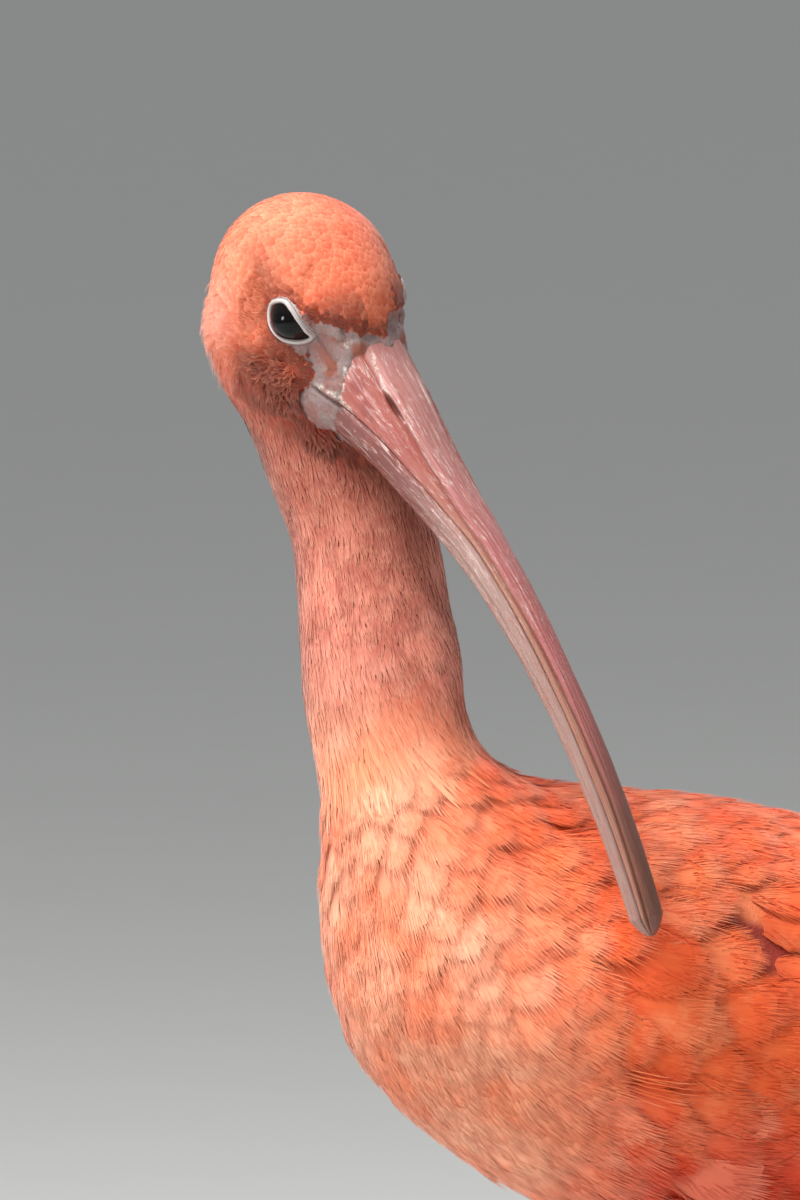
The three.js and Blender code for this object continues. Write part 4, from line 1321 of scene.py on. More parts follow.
def unit_object(name, points, faces, vane, height):
    """A hidden object, one metre long, that a coat sets on the skin at its own size."""
    thing = new_object(name, rows(points) / MM, faces, {"vane": vane, "height": height})
    up = sum(polygon.normal.z for polygon in thing.data.polygons)
    if up < 0:
        thing.data.flip_normals()
    thing.hide_render = True
    return thing


def coat_tree():
    """Sets tufts on a skin, lays them along its feather tracts and bends them to its surface."""
    inputs = (
        ("Geometry", "Geometry"), ("Tufts", "Collection"), ("Material", "Material"), ("Tract", "String"),
        ("Spacing", "Float"), ("Length", "Float"), ("Vary", "Float"), ("Wander", "Float"), ("Lift", "Float"),
        ("Seed", "Int"),
    )
    tree = Geometry("feather_coat", inputs)
    skin = tree.input("Geometry")
    seed = tree.input("Seed")
    scatter = tree.node("GeometryNodeDistributePointsOnFaces", {"distribute_method": "POISSON"}, {
        "Mesh": skin, "Distance Min": tree.input("Spacing"), "Density Max": 4.0e6,
        "Density Factor": tree.named(tree.input("Tract")), "Seed": seed,
    }, output=None)
    points, normal = Socket(tree, scatter.outputs["Points"]), Socket(tree, scatter.outputs["Normal"])
    vary = tree.input("Vary")
    size = tree.named("feather_size") * tree.random(1 - vary, 1 + vary, seed) * tree.input("Length") * MM
    points = tree.store(points, "size", size)
    points = tree.store(points, "tone", tree.random(0.0, 1.0, seed + 1))
    points = tree.store(points, "root_uv", tree.named("OFBake", "FLOAT_VECTOR"), "FLOAT_VECTOR")
    wander = tree.input("Wander")
    stray = tree.node("ShaderNodeCombineXYZ", {}, {
        axis: tree.random(-1.0, 1.0, seed + draw) * wander for axis, draw in (("X", 2), ("Y", 3), ("Z", 4))
    })
    way = tree.vector("ADD", tree.named("lie", "FLOAT_VECTOR"), stray)
    turned = tree.node(
        "FunctionNodeAxesToRotation", {"primary_axis": "Z", "secondary_axis": "Y"},
        {"Primary Axis": normal, "Secondary Axis": way},
    )
    tufts = tree.node("GeometryNodeCollectionInfo", {}, {
        "Collection": tree.input("Tufts"), "Separate Children": True, "Reset Children": True,
    })
    placed = tree.node("GeometryNodeInstanceOnPoints", {}, {
        "Points": points, "Instance": tufts, "Pick Instance": True, "Rotation": turned,
        "Scale": tree.named("size"),
    })
    real = tree.node("GeometryNodeRealizeInstances", {}, {"Geometry": placed})
    here = tree.node("GeometryNodeInputPosition")
    under, outward_way = (
        tree.node("GeometryNodeSampleNearestSurface", {"data_type": "FLOAT_VECTOR"}, {
            "Mesh": skin, "Sample Position": here, "Value": value,
        }) for value in (here, tree.node("GeometryNodeInputNormal"))
    )
    height = tree.named("height") * tree.named("size") * tree.input("Lift")
    moved = tree.node("GeometryNodeSetPosition", {}, {
        "Geometry": real, "Position": tree.vector("ADD", under, tree.scaled(outward_way, height)),
    })
    patch = tree.scaled(tree.named("vane", "FLOAT_VECTOR"), PATCH_HALF)
    mapped = tree.vector("ADD", tree.named("root_uv", "FLOAT_VECTOR"), patch)
    moved = tree.store(moved, "OFBake", mapped, "FLOAT2", "CORNER")
    smooth = tree.node("GeometryNodeSetShadeSmooth", {}, {"Geometry": moved})
    return tree.finish(tree.node("GeometryNodeSetMaterial", {}, {
        "Geometry": smooth, "Material": tree.input("Material"),
    }))


def kinds_of(make, name, count, seed, **form):
    """A collection of like tufts or feathers for a coat to pick from, each drawn from a seed of its own."""
    group = bpy.data.collections.new(f"{name}s")
    for i in range(count):
        thing = make(f"{name}_{i}", seed=seed + i, **form)
        bpy.context.scene.collection.objects.unlink(thing)
        group.objects.link(thing)
    return group


def coat(name, tufts, material, tract, spacing, seed, wander, vary=0.18, length=1.0, lift=1.0):
    """One coat of feathers over a tract of the skin, as plain mesh."""
    skin = bpy.data.objects["skin"]
    thing = bpy.data.objects.new(name, skin.data.copy())
    bpy.context.scene.collection.objects.link(thing)
    modifier = thing.modifiers.new("coat", "NODES")
    tree = bpy.data.node_groups.get("feather_coat") or coat_tree()
    modifier.node_group = tree
    values = {
        "Tufts": tufts, "Material": material, "Tract": f"{tract}_tract", "Spacing": spacing,
        "Length": length, "Vary": vary, "Wander": wander, "Lift": lift, "Seed": sizes().seed + seed,
    }
    for item in tree.interface.items_tree:
        if item.in_out == "INPUT" and item.name in values:
            modifier[item.identifier] = values[item.name]
    applied(thing)
    tidy_attributes(thing.data)
    finish_piece(thing)


def tidy_attributes(mesh):
    """Keeps only what the material and the map need."""
    kept = {"vane", "tone", "edge", "cheek", "gap", "OFBake", "position", "sharp_face", "material_index"}
    names = [a.name for a in mesh.attributes if a.name not in kept and not a.name.startswith(".")]
    for name in names:
        mesh.attributes.remove(mesh.attributes[name])


class IBIS_OT_head_coat(bpy.types.Operator):
    """Cover the head with its small feathers"""

    bl_idname = "ibis.head_coat"
    bl_label = "Head feathers"

    def execute(self, context):
        look = colours()
        flat = kinds_of(tuft_mesh, "head_tuft", 3, 20, strands=13, width=0.7, rise=0.1)
        curls = kinds_of(
            tuft_mesh, "cheek_tuft", 3, 90,
            strands=7, width=0.9, rise=0.4, frizz=0.25, curl=0.2, thick=0.5,
        )
        fringe = kinds_of(
            tuft_mesh, "fringe_tuft", 3, 95,
            strands=6, width=0.8, rise=0.22, frizz=0.2, curl=0.05, thick=0.5,
        )
        crown = feather_material("ibis_head_feathers", look, tip=0.45, root=0.3, contrast=0.6)
        cheek = feather_material("ibis_cheek_feathers", look, tip=0.5, root=0.5, contrast=0.7)
        close = sizes().cheek_spacing
        for tract, tufts, material, spacing, length, vary, wander, seed in (
            ("head", flat, crown, sizes().crown_spacing, 1.05, 0.18, 0.14, 0),
            ("cheek", curls, cheek, close, 1.25, 0.35, 0.8, 5),
            ("fringe", fringe, cheek, close * 0.75, 0.85, 0.3, 0.35, 6),
        ):
            coat(
                f"{tract}_coat", tufts, material, tract, spacing, seed,
                wander=wander, vary=vary, length=length,
            )
        return {"FINISHED"}


class IBIS_OT_neck_coat(bpy.types.Operator):
    """Cover the neck with shaggy feathers"""

    bl_idname = "ibis.neck_coat"
    bl_label = "Neck feathers"

    def execute(self, context):
        tufts = kinds_of(
            tuft_mesh, "neck_tuft", 3, 40, strands=21, width=0.62, rise=0.09, frizz=0.12, thick=0.7,
        )
        material = feather_material("ibis_neck_feathers", colours(), tip=0.35, root=0.2, contrast=0.4)
        coat(
            "neck_coat", tufts, material, "neck", sizes().neck_spacing, 10,
            wander=0.22, vary=0.25, length=1.15, lift=0.75,
        )
        return {"FINISHED"}


class IBIS_OT_body_coat(bpy.types.Operator):
    """Cover back, wings, breast, belly and thighs with contour feathers and loose hairs"""

    bl_idname = "ibis.body_coat"
    bl_label = "Body feathers"

    def execute(self, context):
        look = colours()
        body = kinds_of(
            feather_mesh, "body_feather", 4, 60, hairs=150, width=0.54, rise=0.12, fringe=0.2,
        )
        coverts = kinds_of(
            feather_mesh, "covert_feather", 4, 70, hairs=170, width=0.6, rise=0.1, fringe=0.13,
        )
        wisps = kinds_of(
            tuft_mesh, "wisp", 3, 80, strands=9, width=0.42, rise=0.13, frizz=0.08, thick=0.16,
        )
        soft = feather_material("ibis_body_feathers", look, tip=0.5, root=0.45, streaks=0.25, contrast=0.35)
        firm = feather_material("ibis_covert_feathers", look, tip=0.3, root=0.4, streaks=0.25)
        loose = feather_material("ibis_wisps", look, tip=0.5, root=0.1)
        white = feather_material("ibis_ruff", look, tip=0.9, root=0.1, contrast=0.3, tip_colour=look.down)
        apart = sizes().body_spacing
        for tract, feathers, material, spacing, wander, seed in (
            ("breast", body, soft, 1.3, 0.12, 20),
            ("back", body, soft, 1.45, 0.1, 21),
            ("covert", coverts, firm, 1.8, 0.06, 22),
            ("belly", body, soft, 1.4, 0.12, 23),
            ("leg", body, soft, 0.7, 0.12, 24),
        ):
            coat(f"{tract}_coat", feathers, material, tract, apart * spacing, seed, wander)
        for tract, material, spacing, length, lift, seed in (
            ("breast", loose, 1.4, 0.75, 1.0, 30),
            ("back", loose, 1.7, 0.75, 1.0, 31),
            ("ruff", white, 0.28, 1.5, 2.6, 32),
        ):
            coat(
                f"{tract}_wisps", wisps, material, tract, apart * spacing, seed,
                wander=0.14, vary=0.3, length=length, lift=lift,
            )
        return {"FINISHED"}


# Long feathers of wings and tail

def long_vane(track, width, rows_along, seed, width_shape, curve=0.12):
    """Points, faces and vane places of one flight feather along a track of points and normals."""
    across = 8
    random = np.random.default_rng(seed)
    t = np.linspace(0, 1, rows_along)
    centre, normal = track(t)
    ahead = unit(np.gradient(centre, axis=0))
    sideways = unit(np.cross(normal, ahead))
    half = width / 2 * width_shape(t)
    points, vane = [], []
    for i in range(across + 1):
        share = 2 * i / across - 1
        ragged = 1 + 0.03 * random.uniform(-1, 1, rows_along) * (abs(share) == 1)
        out = half * share * ragged
        drop = -curve * width * (share * share) * 0.35 + 0.25 * np.exp(-((share / 0.08) ** 2))
        points.append(centre + sideways * out[:, None] + normal * drop)
        vane.append(np.stack([np.full(rows_along, share), t, np.full(rows_along, 0.3)], axis=1))
    points = np.stack(points, axis=1).reshape(-1, 3)
    vane = np.stack(vane, axis=1).reshape(-1, 3)
    return points, grid_faces(across + 1, rows_along, closed=False), vane


remex_width = through((0, 0.35), (0.12, 0.75), (0.4, 1), (0.8, 0.92), (0.93, 0.62), (0.98, 0.34), (1, 0.05))
rectrix_width = through((0, 0.4), (0.2, 0.8), (0.7, 1), (0.9, 0.9), (0.97, 0.6), (1, 0.1))


def flight_material(name, look, inked):
    """Smooth vanes with a pale shaft and fine barbs, and dark ends where they are inked."""
    shade = Shade(name, roughness=0.55, sheen_weight=0.15, specular_ior_level=0.35)
    side, along, _ = shade.parts(shade.attribute("vane", "Vector"))
    tone = shade.attribute("tone")
    place = shade.place()
    base = shade.mix(shade.between(shade.noise(place, 0.05, 2), 0.35, 0.75), look.deep, look.back)
    edge = side * side * side * side
    base = shade.mix(edge * 0.2, base, look.tip)
    shaft = shade.between(side * side, 0.006, 0.0)
    base = shade.mix(shaft * 0.4, base, look.tip)
    base = shade.mix(tone * 0.5, base, look.tone, "MULTIPLY")
    if inked:
        wavy = along + (shade.noise(place, 0.4, 2) - 0.5) * 0.05
        base = shade.mix(shade.between(wavy, 0.86, 0.9) * shade.attribute("inked"), base, look.ink)
    shade.set("Base Color", base)
    from_shaft = side.math("ABSOLUTE", side)
    wave = (along * 90.0 - from_shaft * 9.0) * 2 * math.pi
    shade.bump(wave.math("SINE", wave), 0.3, 0.0003)
    return shade.material


class FeatherFan:
    """Gathers long feathers into one mesh."""

    def __init__(self):
        self.points, self.faces, self.vane, self.tone, self.inked, self.roots = [], [], [], [], [], []
        self.count = 0

    def add(self, made, tone, inked=0.0):
        points, faces, vane = made
        self.points.append(points)
        self.faces += [tuple(i + self.count for i in face) for face in faces]
        self.vane.append(vane)
        self.tone.append(np.full(len(points), tone))
        self.inked.append(np.full(len(points), inked))
        self.roots.append(np.repeat(points[:1], len(points), axis=0))
        self.count += len(points)

    def finish(self, name, material, mirrored=False):
        flip = (-1, 1, 1) if mirrored else (1, 1, 1)
        attributes = {
            "vane": np.concatenate(self.vane),
            "tone": np.concatenate(self.tone),
            "inked": np.concatenate(self.inked),
        }
        points = np.concatenate(self.points) * flip + BODY_ORIGIN
        thing = new_object(name, points, self.faces, attributes)
        if mirrored:
            thing.data.flip_normals()
        map_to_roots(thing, np.concatenate(self.roots) * flip + BODY_ORIGIN, attributes["vane"])
        thing.data.materials.append(material)
        return thing


def map_to_roots(thing, roots, vane):
    """The same map as the coats have: a small patch where each feather's root meets the skin."""
    skin = bpy.data.objects["skin"]
    layer = skin.data.uv_layers["OFBake"].data
    spots = {}
    for root in {tuple(np.round(r, 3)) for r in roots}:
        found = skin.closest_point_on_mesh(Vector(root) * MM)
        loop = skin.data.polygons[found[3]].loop_start
        spots[root] = np.array(layer[loop].uv)
    base = np.array([spots[tuple(np.round(r, 3))] for r in roots])
    local = np.stack([vane[:, 0], vane[:, 1] * 2 - 1], axis=1) * PATCH_HALF
    corners = np.empty(len(thing.data.loops), int)
    thing.data.loops.foreach_get("vertex_index", corners)
    made = thing.data.uv_layers.new(name="OFBake")
    made.data.foreach_set("uv", (base + local)[corners].ravel())


PRIMARIES = 11
FIRST_INKED = 7  # of the primaries, counted from 0, from which their ends are black
SECONDARIES = 12
TERTIALS = 8


def wing_track(start, length, angle, twist, lift, rise, sink):
    """A feather's way over the wing, from a root that is sunk below the coverts to its tip."""
    def track(t):
        return wing_surface(start + length * t, angle + twist * t, lift + rise * t - sink * (1 - t) ** 3)
    return track


class IBIS_OT_wing_feathers(bpy.types.Operator):
    """Add the primaries, secondaries and tertials of both wings"""

    bl_idname = "ibis.wing_feathers"
    bl_label = "Wing feathers"

    def execute(self, context):
        material = flight_material("ibis_flight_feathers", colours(), True)
        for side, name in ((1, "left"), (-1, "right")):
            fan = self.build(200 + side)
            thing = fan.finish(f"flight_feathers_{name}", material, side < 0)
            finish_piece(thing, [f"wing_{name}"])
        return {"FINISHED"}

    def build(self, seed):
        """Primaries, then secondaries, then tertials, each row from its lowest feather up."""
        random = np.random.default_rng(seed)
        fan = FeatherFan()

        def add(track, width, rows_along, own_seed, inked=0.0):
            vane = long_vane(track, width, rows_along, own_seed, remex_width)
            fan.add(vane, random.uniform(0, 1), inked)

        for i in range(PRIMARIES):
            share = i / (PRIMARIES - 1)
            track = wing_track(
                start=143, length=84 + 52 * share, angle=-16 + 22 * share, twist=20,
                lift=-2.2 - 1.6 * share + 0.25 * (i % 2), rise=0.0, sink=2.5,
            )
            add(track, 19, 26, seed + i, inked=float(i >= FIRST_INKED))
        for i in range(SECONDARIES):
            share = i / (SECONDARIES - 1)
            track = wing_track(
                start=98, length=104 + random.uniform(-3, 3), angle=-26 + 46 * share, twist=3,
                lift=-1.6 + 1.2 * share, rise=0.6, sink=4,
            )
            add(track, 21, 22, seed + 40 + i)
        for i in range(TERTIALS):
            share = i / (TERTIALS - 1)
            track = wing_track(
                start=96, length=130 - 12 * abs(share - 0.4) + random.uniform(-3, 3),
                angle=20 + 60 * share, twist=-3, lift=-0.4 + 0.9 * share, rise=0.9, sink=4,
            )
            add(track, 27, 22, seed + 80 + i)
        return fan


class IBIS_OT_tail_feathers(bpy.types.Operator):
    """Add the twelve tail feathers and their coverts"""

    bl_idname = "ibis.tail_feathers"
    bl_label = "Tail feathers"

    def execute(self, context):
        fan = FeatherFan()
        droop = Matrix.Rotation(-math.radians(17), 3, "X")
        turn_down = np.array(droop)
        for i in reversed(range(6)):
            for side in (1, -1):
                turn = math.radians(side * (1.6 + 2.1 * i))
                length = 82 - 1.3 * i
                height = 3 - 1.15 * i - (0.45 if side < 0 else 0)

                def track(t, side=side, turn=turn, length=length, height=height, i=i):
                    flat = np.stack([
                        side * (1.5 + 1.1 * i) + np.sin(turn) * length * t, 6 + np.cos(turn) * length * t,
                        height * (1 - 0.1 * t),
                    ], axis=1)
                    normal = turn_down @ (0, 0, 1.0)
                    return flat @ turn_down.T + TAIL_ROOT, np.tile(normal, (len(t), 1))

                fan.add(long_vane(track, 17, 18, 300 + i, rectrix_width), 0.15 * i)
        for face in (1, -1):
            for i in range(7):
                share = i / 3 - 1

                def track(t, share=share, face=face):
                    out = abs(share)
                    flat = np.stack([
                        share * (9 + 3 * t), 2 + (48 - 9 * out) * t, face * (8 - 3.6 * t - 2.2 * out),
                    ], axis=1)
                    normal = turn_down @ (0, 0, float(face))
                    return flat @ turn_down.T + TAIL_ROOT, np.tile(normal, (len(t), 1))

                fan.add(long_vane(track, 13, 12, 330 + i, rectrix_width, curve=0.2), 0.1 * i)
        thing = fan.finish("tail_feathers", flight_material("ibis_tail_feathers", colours(), False))
        finish_piece(thing, ["tail"])
        return {"FINISHED"}


# Bill

def bill_relief(along, height, side, upper):
    """How far the horn of one ring lies below the plain form, and how deep its grooves and slits are; the
    material paints the deep places darker, as painted shade.
    """
    line = np.stack([np.full(len(height), along * 0.05), height / 8, 3 * side], axis=1)
    ridges = 0.12 * lumps(line, 1.1, 11) + 0.07 * lumps(line * (2.2, 2.6, 2.6), 1.1, 12)
    ridges = ridges * (0.3 + 0.7 * smoothstep(BILL_LENGTH, 60, along)) * smoothstep(-2, 8, along)
    root = 1.7 * smoothstep(-1.3, -4.5, along - skin_end(height))
    if upper:
        off_groove = height - groove_angle(along)
        near_slit = ((along - NOSTRIL_ALONG) / 3.0) ** 2 + (off_groove / 3.4) ** 2
        groove = (0.3 + 0.45 * smoothstep(4, 12, along)) * np.exp(-((off_groove / 5) ** 2))
        slit = 1.4 * np.exp(-(near_slit**2))
        rim = 0.3 * np.exp(-((np.sqrt(near_slit) - 1.5) ** 2) / 0.12)
        rim = rim + 0.25 * np.exp(-(((off_groove - 13) / 7) ** 2)) * smoothstep(70, 20, along)
    else:
        groove = 0.4 * np.exp(-(((height + 32) / 7) ** 2)) * smoothstep(10, 40, along)
        slit, rim = 0.0, 0.0
    return groove + slit - rim - ridges + root, np.clip(groove * 0.7 + slit, 0, 1)


def bill_half_mesh(name, upper, material):
    """The upper or the lower half, closed across the mouth."""
    along_count = 460
    arc_count = 96 if upper else 72
    inner_count = 8
    rings, horn, zone = [], [], []
    shares = np.linspace(0, 1, along_count)
    stations = BILL_START + (BILL_LENGTH - BILL_START) * (1 - (1 - shares) ** 1.5)
    for along in stations:
        tip = math.sqrt(max(1e-4, min(1.0, (BILL_LENGTH - along) / 4.5)))
        mouth = math.degrees(math.asin(float(mouth_height(along) / bill_up(along))))
        mouth = mouth + (0.7 if upper else -0.7)
        own = np.linspace(mouth, 180 - mouth if upper else -180 - mouth, arc_count)
        angle = np.radians(own - bill_turn(along))
        height = 90 - np.abs(own - 90) if upper else -90 + np.abs(own + 90)
        side = np.where(np.cos(np.radians(own)) > 0, 1.0, -1.0)
        tall = np.where(np.sin(angle) > 0, bill_up(along), bill_down(along))
        relief, depth = bill_relief(along, height, side, upper)
        numbers = np.arange(arc_count)
        from_mouth = np.minimum(numbers, numbers[::-1])
        lower_by = relief + 0.5 * np.exp(-from_mouth / 1.6)
        left = (bill_half(along) - lower_by) * np.cos(angle) * tip
        up = (tall - lower_by) * np.sin(angle) * tip
        inner = np.linspace(0, 1, inner_count + 2)[1:-1]
        sag = 0.3 * (1 if upper else -1) * np.sin(np.pi * inner)
        left = np.concatenate([left, left[-1] + (left[0] - left[-1]) * inner])
        up = np.concatenate([up, up[-1] + (up[0] - up[-1]) * inner + sag])
        rings.append(from_head(bill_place(np.full(len(left), along), left, up)))
        # the strip closing the mouth counts as fully deep, so it gets painted shade
        depth = np.concatenate([depth, np.ones(inner_count)])
        around = np.concatenate([height / 8 + 9 * side, np.zeros(inner_count)])
        horn.append(np.stack([np.full(len(left), along), around, depth], axis=1))
        off_groove = height - (groove_angle(along) if upper else 90)
        zone.append(np.concatenate([off_groove, np.zeros(inner_count)]))
    horn = np.concatenate([*horn, horn[0][:1], horn[-1][:1]])
    zone = np.concatenate([*zone, zone[0][:1], zone[-1][:1]])
    thing = capped_tube(name, rings, {"horn": horn, "zone": zone})
    add_attribute(thing.data, "marks", face_marks(to_head(points_of(thing.data))))
    thing.data.materials.append(material)
    return thing


class IBIS_OT_bill(bpy.types.Operator):
    """Build both halves of the bill with grooves, nostrils and flaky horn"""

    bl_idname = "ibis.bill"
    bl_label = "Bill"

    def execute(self, context):
        look = colours()
        upper = bill_half_mesh("bill_upper_horn", True, bill_material("ibis_bill_upper", look, True))
        finish_piece(upper, ["bill_upper"])
        lower = bill_half_mesh("bill_lower_horn", False, bill_material("ibis_bill_lower", look, False))
        finish_piece(lower, ["bill_lower"])
        return {"FINISHED"}


# Eyes

class IBIS_OT_eyes(bpy.types.Operator):
    """Build the eyes with their lids and third eyelids"""

    bl_idname = "ibis.eyes"
    bl_label = "Eyes"

    def execute(self, context):
        look = colours()
        ball_look = eye_material(look)
        lid_look = lid_material(look)
        veil = Shade("ibis_third_lid", roughness=0.25, coat_weight=0.4)
        veil.set("Base Color", veil.mix(veil.noise(veil.place(), 1.0, 3), look.membrane, look.lid_line))
        for side, name in ((1, "left"), (-1, "right")):
            finish_piece(self.ball(side, name, ball_look), [f"eye_{name}"])
            finish_piece(self.lids(side, name, lid_look))
            finish_piece(self.veil(side, name, veil.material))
        return {"FINISHED"}

    def ball(self, side, name, material):
        across, along = 64, 40
        forward, outward_way, up = eye_axes(side)
        rings, off_axis = [], []
        for j in range(1, along):
            polar = math.pi * j / along
            bulge = float(eye_bulge(math.degrees(polar)))
            turn = np.linspace(0, 2 * math.pi, across, endpoint=False)
            flat = np.outer(np.cos(turn), forward) + np.outer(np.sin(turn), up)
            ring = (flat * math.sin(polar) + outward_way * math.cos(polar)) * (EYE_RADIUS + bulge)
            rings.append(from_head(ring + eye_centre(side)))
            off_axis += [math.degrees(polar)] * across
        thing = capped_tube(f"eyeball_{name}", rings, {"off_axis": np.array(off_axis + [0, 180])})
        thing.data.materials.append(material)
        return thing

    def lids(self, side, name, material):
        count = 120
        outline = closed_curve(LID_OUTLINE, count)
        ahead = np.roll(outline, -1, axis=0) - np.roll(outline, 1, axis=0)
        away = unit(np.stack([ahead[:, 1], -ahead[:, 0]], axis=1))
        if np.sum(away * (outline - np.array(LID_MIDDLE))) < 0:
            away = -away
        profile = through(
            (-3, -0.5), (-1.5, 0.05), (0, 0.42), (2.5, 0.66), (5, 0.62), (6.6, 0.4), (8, 0.56), (11, 0.62),
            (15, 0.4), (21, -0.4),
        )
        steps = np.linspace(-3, 21, 26)
        front = smoothstep(30, 60, outline[:, 0])
        rings, ring_share = [], []
        for step in steps:
            widen = 1 + 0.25 * front
            wrinkle = 0.05 * lumps(np.column_stack([outline / 9, np.full(count, step / 4)]), 1.0, 5)
            radius = EYE_RADIUS + profile(step) + wrinkle * smoothstep(2, 8, step)
            rings.append(from_head(on_eye(outline + away * (step * widen)[:, None], radius, side)))
            ring_share += [(step + 3) / 24] * count
        points = np.concatenate(rings)
        thing = new_object(f"lids_{name}", points, grid_faces(count, len(steps)), {"ring": ring_share})
        self.face_out(thing, side)
        thing.data.materials.append(material)
        return thing

    def veil(self, side, name, material):
        """A thin crescent along the lower lid to the front corner."""
        outline = closed_curve(LID_OUTLINE, 90)
        lower = outline[12:42]
        inward = unit(np.array(LID_MIDDLE) - lower)
        share = np.linspace(0, 1, len(lower))
        depth = 8.5 * np.sin(np.pi * np.minimum(share * 0.92 + 0.05, 1)) ** 0.6
        rings = []
        for step in np.linspace(-0.3, 1, 8):
            angles = lower + inward * (depth * step)[:, None]
            radius = EYE_RADIUS + eye_bulge(np.hypot(*angles.T)) + 0.06 + 0.12 * (step < 0.8)
            rings.append(from_head(on_eye(angles, radius, side)))
        thing = new_object(f"third_lid_{name}", np.concatenate(rings), grid_faces(len(lower), 8, False))
        self.face_out(thing, side)
        thing.data.materials.append(material)
        return thing

    def face_out(self, thing, side):
        centre = Vector(from_head(eye_centre(side))[0] * MM)
        facing = sum(polygon.normal.dot(polygon.center - centre) for polygon in thing.data.polygons)
        if facing < 0:
            thing.data.flip_normals()


# Legs

class IBIS_OT_legs(bpy.types.Operator):
    """Build the scaly legs and feet, and the claws"""

    bl_idname = "ibis.legs"
    bl_label = "Legs"

    def execute(self, context):
        look = colours()
        leg_look = leg_material(look)
        claw_look = claw_material(look)
        toes = ("inner", "middle", "outer", "hind")
        for name in ("left", "right"):
            nodes = [f"shank_{name}", f"tarsus_{name}", f"foot_{name}"]
            nodes += [f"toe_{toe}_{name}" for toe in toes]
            core = self.knee(name)
            leg = remeshed(merged_nodes(f"leg_{name}", nodes, [core.data]), voxel=0.7)
            bpy.data.objects.remove(core)
            self.soften(leg.data, rounds=6)
            leg.data.materials.append(leg_look)
            finish_piece(leg, nodes)
            nodes = [f"claw_{toe}_{name}" for toe in toes]
            claws = remeshed(merged_nodes(f"claws_{name}", nodes), voxel=0.35)
            self.soften(claws.data, rounds=4)
            claws.data.materials.append(claw_look)
            finish_piece(claws, nodes)
        return {"FINISHED"}

    def knee(self, name):
        """The part of the leg that the thigh's feathers hide."""
        shank = points_of(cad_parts[f"shank_{name}"].data)
        low = shank[shank[:, 2] > shank[:, 2].max() - 4].mean(axis=0)
        thigh = points_of(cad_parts[f"thigh_{name}"].data)
        high = thigh.mean(axis=0)
        turn = np.linspace(0, 2 * math.pi, 24, endpoint=False)
        circle = np.stack([np.cos(turn), np.sin(turn), 0 * turn], axis=1)
        rings = [low + (high - low) * t + circle * (3.4 + 3.0 * t) for t in np.linspace(-0.1, 0.7, 8)]
        return capped_tube("knee", rings)

    def soften(self, mesh, rounds):
        points = points_of(mesh)
        smooth = spread(points, edges_of(mesh), rounds)
        smooth[:, 2] = np.where(points[:, 2] < 0.3, points[:, 2], smooth[:, 2])
        smooth[:, 2] = np.maximum(smooth[:, 2], 0)
        set_points(mesh, smooth)
        shade_smooth(mesh)


# Stage

VIEW_AZIMUTH = 75.0  # degrees to the bird's left of straight in front of it
VIEW_ELEVATION = 5.0
VIEW_DISTANCE = 2.5  # metres
VIEW_MIDDLE = np.array([-2.76, 3.09, 329.6])  # counted from the bird's origin, millimetres
VIEW_HEIGHT = 0.2727  # metres of the bird from the top to the bottom of the picture
SENSOR_HEIGHT = 36.0  # of the camera, millimetres
FLOOR_HALF = 40000.0  # half the floor's width, millimetres
SKY_COLOUR = (0.86, 0.88, 0.9, 1)
SKY_STRENGTH = 0.4


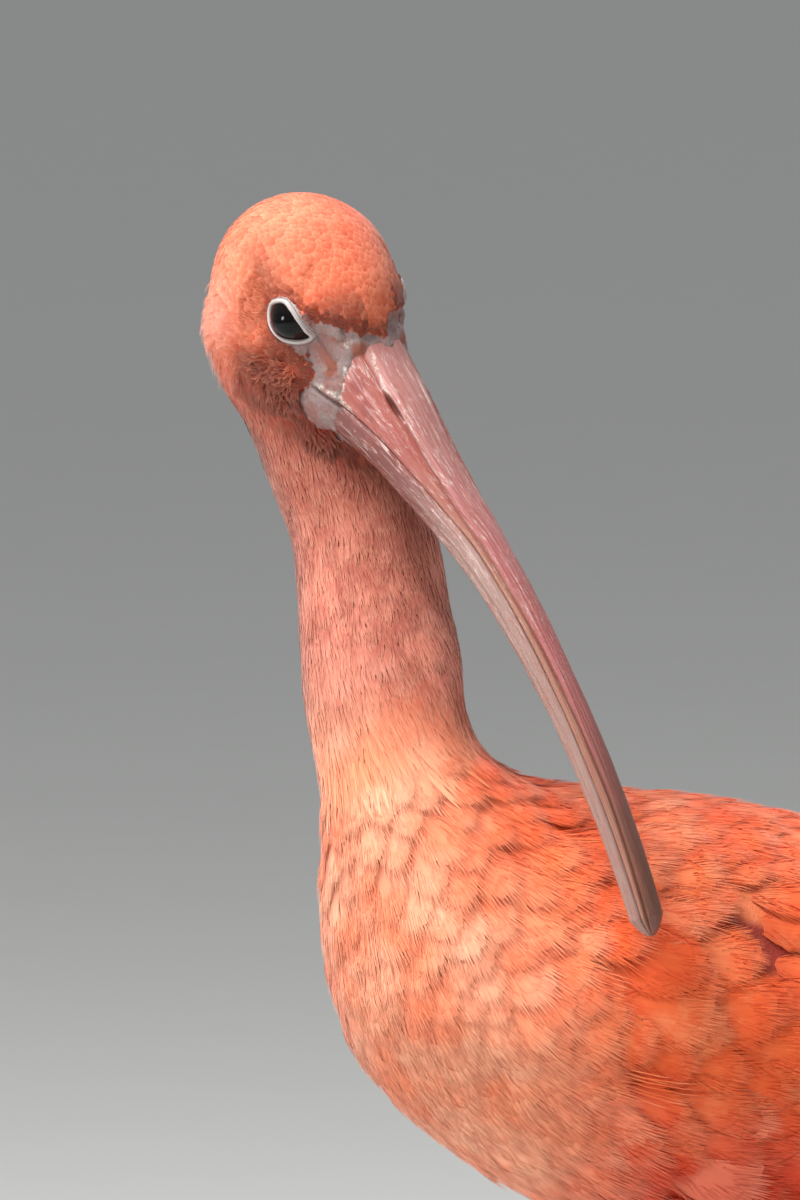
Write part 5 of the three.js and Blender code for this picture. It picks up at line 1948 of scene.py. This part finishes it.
class IBIS_OT_stage(bpy.types.Operator):
    """Set the pale floor, the soft light and the camera"""

    bl_idname = "ibis.stage"
    bl_label = "Stage"

    def execute(self, context):
        self.floor()
        self.camera(context)
        self.lights(context)
        context.scene.view_settings.view_transform = "Standard"
        return {"FINISHED"}

    def floor(self):
        half = FLOOR_HALF
        corners = [(-half, -half, 0), (half, -half, 0), (half, half, 0), (-half, half, 0)]
        floor = new_object("floor", corners, [(0, 1, 2, 3)])
        shade = Shade("ibis_floor", roughness=0.8)
        grain = shade.noise(shade.place(), 0.02, 3)
        shade.set("Base Color", shade.mix(grain * 0.06, colours().floor, (1, 1, 1, 1)))
        floor.data.materials.append(shade.material)

    def camera(self, context):
        a, e = math.radians(VIEW_AZIMUTH), math.radians(VIEW_ELEVATION)
        back = Vector((math.sin(a) * math.cos(e), -math.cos(a) * math.cos(e), math.sin(e)))
        right = Vector((math.cos(a), math.sin(a), 0))
        above = back.cross(right)
        target = Vector((VIEW_MIDDLE + BODY_ORIGIN) * MM)
        data = bpy.data.cameras.new("camera")
        data.sensor_fit = "VERTICAL"
        data.sensor_height = SENSOR_HEIGHT
        data.lens = SENSOR_HEIGHT * VIEW_DISTANCE / VIEW_HEIGHT
        camera = bpy.data.objects.new("camera", data)
        turned = Matrix((right, above, back)).transposed().to_4x4()
        turned.translation = target + back * VIEW_DISTANCE
        camera.matrix_world = turned
        context.scene.collection.objects.link(camera)
        context.scene.camera = camera

    def lights(self, context):
        world = bpy.data.worlds.new("world")
        world.use_nodes = True
        sky = world.node_tree.nodes["Background"]
        sky.inputs["Color"].default_value = SKY_COLOUR
        sky.inputs["Strength"].default_value = SKY_STRENGTH
        context.scene.world = world
        target = Vector((VIEW_MIDDLE + BODY_ORIGIN) * MM)
        for name, place, size, power in (
            ("sky", (0.2, -0.75, 1.4), 0.8, 40.0),
            ("front", (0.7, -1.7, 0.45), 0.5, 11.0),
            ("rim", (-0.8, 0.9, 0.9), 0.6, 5.0),
        ):
            data = bpy.data.lights.new(name, "AREA")
            data.shape = "DISK"
            data.size = size
            data.energy = power
            light = bpy.data.objects.new(name, data)
            light.location = target + Vector(place)
            light.rotation_euler = (target - light.location).to_track_quat("-Z", "Y").to_euler()
            context.scene.collection.objects.link(light)


class IBIS_PT_panel(bpy.types.Panel):
    """The ibis model's steps and settings"""

    bl_label = "Scarlet Ibis"
    bl_idname = "IBIS_PT_panel"
    bl_space_type = "VIEW_3D"
    bl_region_type = "UI"
    bl_category = "Ibis"

    def draw(self, context):
        for step in STEPS:
            self.layout.operator(step.bl_idname)
        for group in (context.scene.ibis_sizes, context.scene.ibis_colours):
            for key in group.bl_rna.properties.keys():
                if key not in ("rna_type", "name"):
                    self.layout.prop(group, key)


STEPS = (
    IBIS_OT_skin, IBIS_OT_eyes, IBIS_OT_bill, IBIS_OT_legs, IBIS_OT_head_coat, IBIS_OT_neck_coat,
    IBIS_OT_body_coat, IBIS_OT_wing_feathers, IBIS_OT_tail_feathers, IBIS_OT_stage,
)
CLASSES = (IbisColours, IbisSizes, *STEPS, IBIS_PT_panel)


def register():
    for item in CLASSES:
        bpy.utils.register_class(item)
    bpy.types.Scene.ibis_colours = bpy.props.PointerProperty(type=IbisColours)
    bpy.types.Scene.ibis_sizes = bpy.props.PointerProperty(type=IbisSizes)


def unregister():
    del bpy.types.Scene.ibis_sizes
    del bpy.types.Scene.ibis_colours
    for item in reversed(CLASSES):
        bpy.utils.unregister_class(item)


def main():
    register()
    for step in STEPS:
        space, action = step.bl_idname.split(".")
        getattr(getattr(bpy.ops, space), action)()


if __name__ == "__main__":
    main()
